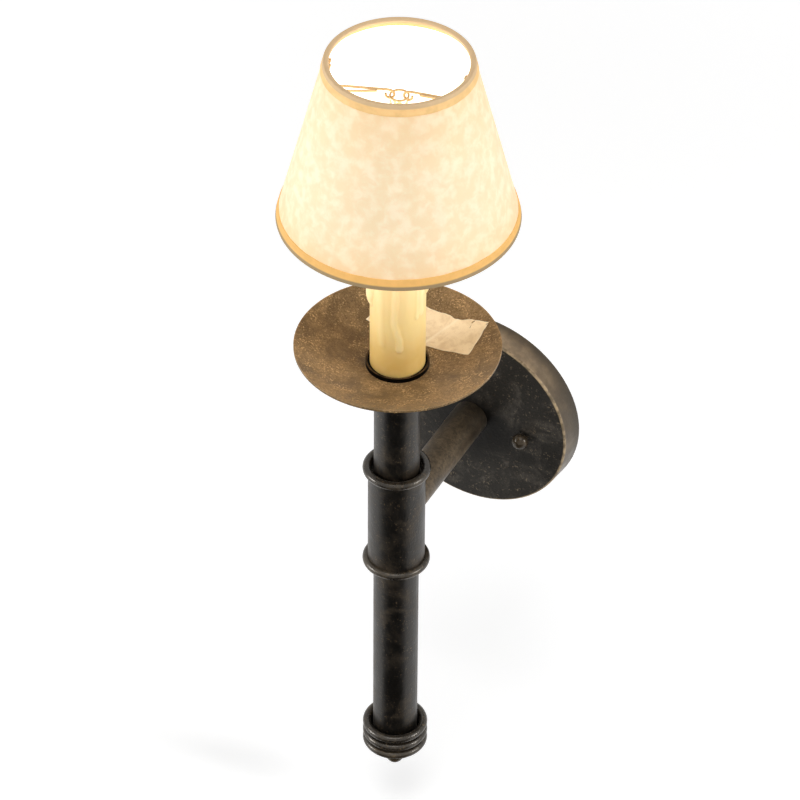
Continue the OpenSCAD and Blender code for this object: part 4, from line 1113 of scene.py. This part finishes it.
def makeLabel():
    s = labelSet
    columns, rows = s["columns"], s["rows"]
    points, faces, borders = [], [], []
    turn = math.radians(s["turn"])
    for j in range(rows + 1):
        for i in range(columns + 1):
            u, v = i / columns - 0.5, j / rows - 0.5
            x, y = u * s["width"], v * s["height"]
            # torn long edges and worn short ones
            tear = 0.9 + 0.9 * noise.noise(Vector((x / 5.5, 7.0, v)))
            tear += 0.14 * noise.noise(Vector((x / 1.6, 2.0, v)))
            notch = 1.7 * math.exp(-((x - 14.0) / 5.0) ** 2)
            if v > 0:
                y -= (0.7 * tear + notch) * (2 * v) ** 6
            else:
                y += 0.35 * tear * (-2 * v) ** 6
            fray = 0.4 + 0.5 * noise.noise(Vector((4.0, y / 3.0, u)))
            x -= math.copysign(fray * abs(2 * u) ** 14, u)
            px = s["middle"][0] + x * math.cos(turn) - y * math.sin(turn)
            py = s["middle"][1] + x * math.sin(turn) + y * math.cos(turn)
            r = math.hypot(px, py)
            if r > s["floorRadius"]:
                z = s["bowlCentre"] - math.sqrt(s["bowlRadius"] ** 2 - r * r)
            else:
                z = s["floorZ"]
            crease = 0.55 * abs(noise.noise(Vector((x / 9, y / 9, 1.5))))
            crease += 0.16 * abs(noise.noise(Vector((x / 2.6, y / 2.6, 4.0))))
            fold = 0.5 * math.exp(-((x - 9.0 - 0.5 * y) / 1.4) ** 2)
            fold += 0.4 * math.exp(-((x + 14.0 + 0.3 * y) / 1.2) ** 2)
            lift = crease + fold + 0.8 * max(0.0, 2 * abs(u) - 0.75) * max(0.0, 2 * abs(v) - 0.4)
            points.append((px * mm, stemY + py * mm, (z + s["lift"] + lift) * mm))
            borders.append(max(abs(2 * v) ** 12, abs(2 * u) ** 30, min(1.0, fold * 1.6)))
    for j in range(rows):
        for i in range(columns):
            a = j * (columns + 1) + i
            faces.append((a, a + 1, a + columns + 2, a + columns + 1))
    piece = meshPiece("blankLabel", points, faces, [finishes["agedPaper"]])
    layer = piece.data.attributes.new("border", "FLOAT", "POINT")
    layer.data.foreach_set("value", borders)
    sheet = piece.modifiers.new("paper", "SOLIDIFY")
    sheet.thickness = s["paper"] * mm
    sheet.offset = 1
    makeFinal(piece)
    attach(piece, "sconce")
    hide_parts("paper_label")


makeLabel()
print("label made")

# the wires that hold the shade on the bulb, in mm from the stem's axis
clipSet = {
    "left": {"turn": 205.5, "spread": 2.7, "side": -1},
    "right": {"turn": 8.0, "spread": 0.9, "side": 1},
    "armWire": 0.75,
    "clipWire": 0.65,
    "tipRing": 5.05,
    "hook": 2.35,
    "hookZ": 298.376,
    "armZ": 301.676,
    "ringZ": 318.828,
    "ringRadius": 37.107,
    "flare": coneSet["inward"] / coneSet["tall"],
    "bend": 2.6,
    "clipTop": 295.5,
    "clipLow": 244.55,
    "loopWidth": 17.0,
    "halfGap": 1.092,
    "clear": 0.35,
}

# the bulb's glass, in mm
glassSet = {"neck": 5.5, "widest": 16.0, "start": 216.6, "belly": 245.053, "tip": 293.5}


def glassRadius(z):
    neck, widest, start, belly, tip = glassSet.values()
    if z < belly:
        return neck + (widest - neck) * math.sin(math.pi / 2 * (z - start) / (belly - start)) ** 1.25
    return widest * max(0.0, 1 - ((z - belly) / (tip - belly)) ** 2) ** 0.8


def turned(path, degrees, side=1):
    # side -1 mirrors the path first
    c, s = math.cos(math.radians(degrees)), math.sin(math.radians(degrees))
    return [((x * c - side * y * s) * mm, stemY + (x * s + side * y * c) * mm, z * mm) for x, y, z in path]


def armPaths(spread):
    s = clipSet
    apart = 2 * s["armWire"] + 0.1
    w, z, bend = max(spread, apart / 2), s["armZ"], s["bend"]
    x = math.sqrt(s["ringRadius"] ** 2 - w * w)
    bendX = x + s["flare"] * (s["ringZ"] - z - bend)
    down = [(x, s["ringZ"]), ((x + bendX) / 2, (s["ringZ"] + z + bend) / 2), (bendX, z + bend),
            (bendX - 0.29 * bend, z + 0.29 * bend)]
    inner = s["tipRing"] - s["hook"]
    level = [((bendX - bend) * at, share) for at, share in ((1.0, 0.95), (0.75, 0.72), (0.5, 0.36))]
    main = [(px, w, pz) for px, pz in down] + [(px, share * w, z) for px, share in level]
    main += [(0.27 * x, 0, z), (s["tipRing"] + 0.3, 0, z - 0.4), (inner + 0.5, 0, z - 1.7)]
    for i in range(10):
        a = math.radians(180 + 195 * i / 9)
        main.append((s["tipRing"] + s["hook"] * math.cos(a), 0, s["hookZ"] + s["hook"] * math.sin(a)))
    second = [(px, -w, pz) for px, pz in down]
    second += [(px, share * w - max((1.2 * share + 0.7) * w, apart), z) for px, share in level]
    second.append((0.27 * x + 2, -apart, z))
    return main, second


def loopPath():
    s = clipSet
    parting = math.asin(2 * s["halfGap"] / s["loopWidth"])
    path = []
    for i in range(61):
        a = parting + (2 * math.pi - 2 * parting) * i / 60
        z = (s["clipTop"] + s["clipLow"]) / 2 + (s["clipTop"] - s["clipLow"]) / 2 * math.cos(a)
        off = s["clear"] + s["clipWire"] + 0.3 * math.sin(a / 2)
        out = max(s["tipRing"], glassRadius(min(z, glassSet["tip"])) + off)
        swing = s["loopWidth"] / 2 * math.sin(a) / out
        path.append((out * math.cos(swing), out * math.sin(swing), z))
    return path


def makeClip():
    s = clipSet
    for name, node, side in (("armLeft", "shade_arm_left", "left"), ("armRight", "shade_arm_right", "right")):
        paths = [turned(path, s[side]["turn"], s[side]["side"]) for path in armPaths(s[side]["spread"])]
        arm = wirePiece(name, paths, s["armWire"] * mm, finishes["clipWire"], 0.4 * mm)
        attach(arm, "shade")
        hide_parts(node)
    loops = wirePiece("springLoops", [turned(loopPath(), s[arm]["turn"]) for arm in ("right", "left")],
                      s["clipWire"] * mm, finishes["loopWire"])
    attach(loops, "shade")
    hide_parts("bulb_clip")


makeClip()
print("clip and arms made")

# leads from the connectors in the canopy to the socket, in mm
leadSet = {"radius": 1.1, "x": 1.5, "out": 113.8, "spacing": 1.0 * mm}


def supplyPath(side):
    x, out = side * leadSet["x"], leadSet["out"]
    route = [
        (side * 14.1, -9.5, 27), (side * 6, -9.5, 26.78), (side * 3.26, -9.5, 23.92), (x * 1.1, -8.84, 18.2),
        (x, -7.6, 12.1), (x, -6.308, 5.94), (x, -6.396, 2.42), (x, -8.0, 0.11), (x, -13.06, 0),
        (x, -0.5 * out, 0), (x, 13.95 - out, 0), (x, 5.875 - out, 1.1), (x, 1.5275 - out, 5.06),
        (x, -out, 13.2), (x, -out, 55.4), (x, -out, 95.6), (x, -out, 123.5), (x, -out, 184.0)]
    return [(px * mm, py * mm, pz * mm) for px, py, pz in route]


def groundPath():
    x, low, high = -16.324, -4.35, -13.15
    route = [
        (x, low, -0.9), (x, low, 7.163), (x, -4.57, 8.483), (x + 0.66, -6.99, 10.90),
        (x + 2.2, -10.07, 12.88), (-10.6, -12.93, 12.66), (-7.524, high, 8.55), (-5.7, high, 9.804)]
    return [(px * mm, py * mm, pz * mm) for px, py, pz in route]


def makeLeads():
    s = leadSet
    for name, node, path, finish, slotName in (
            ("hotLead", "lead_hot", supplyPath(1), "blackLead", "lead_black"),
            ("neutralLead", "lead_neutral", supplyPath(-1), "whiteLead", "lead_white"),
            ("groundLead", "lead_ground", groundPath(), "greenLead", "lead_green")):
        lead = wirePiece(name, [path], s["radius"] * mm, finishes[finish], s["spacing"])
        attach(lead, "sconce")
        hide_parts(node)


makeLeads()
print("leads made")
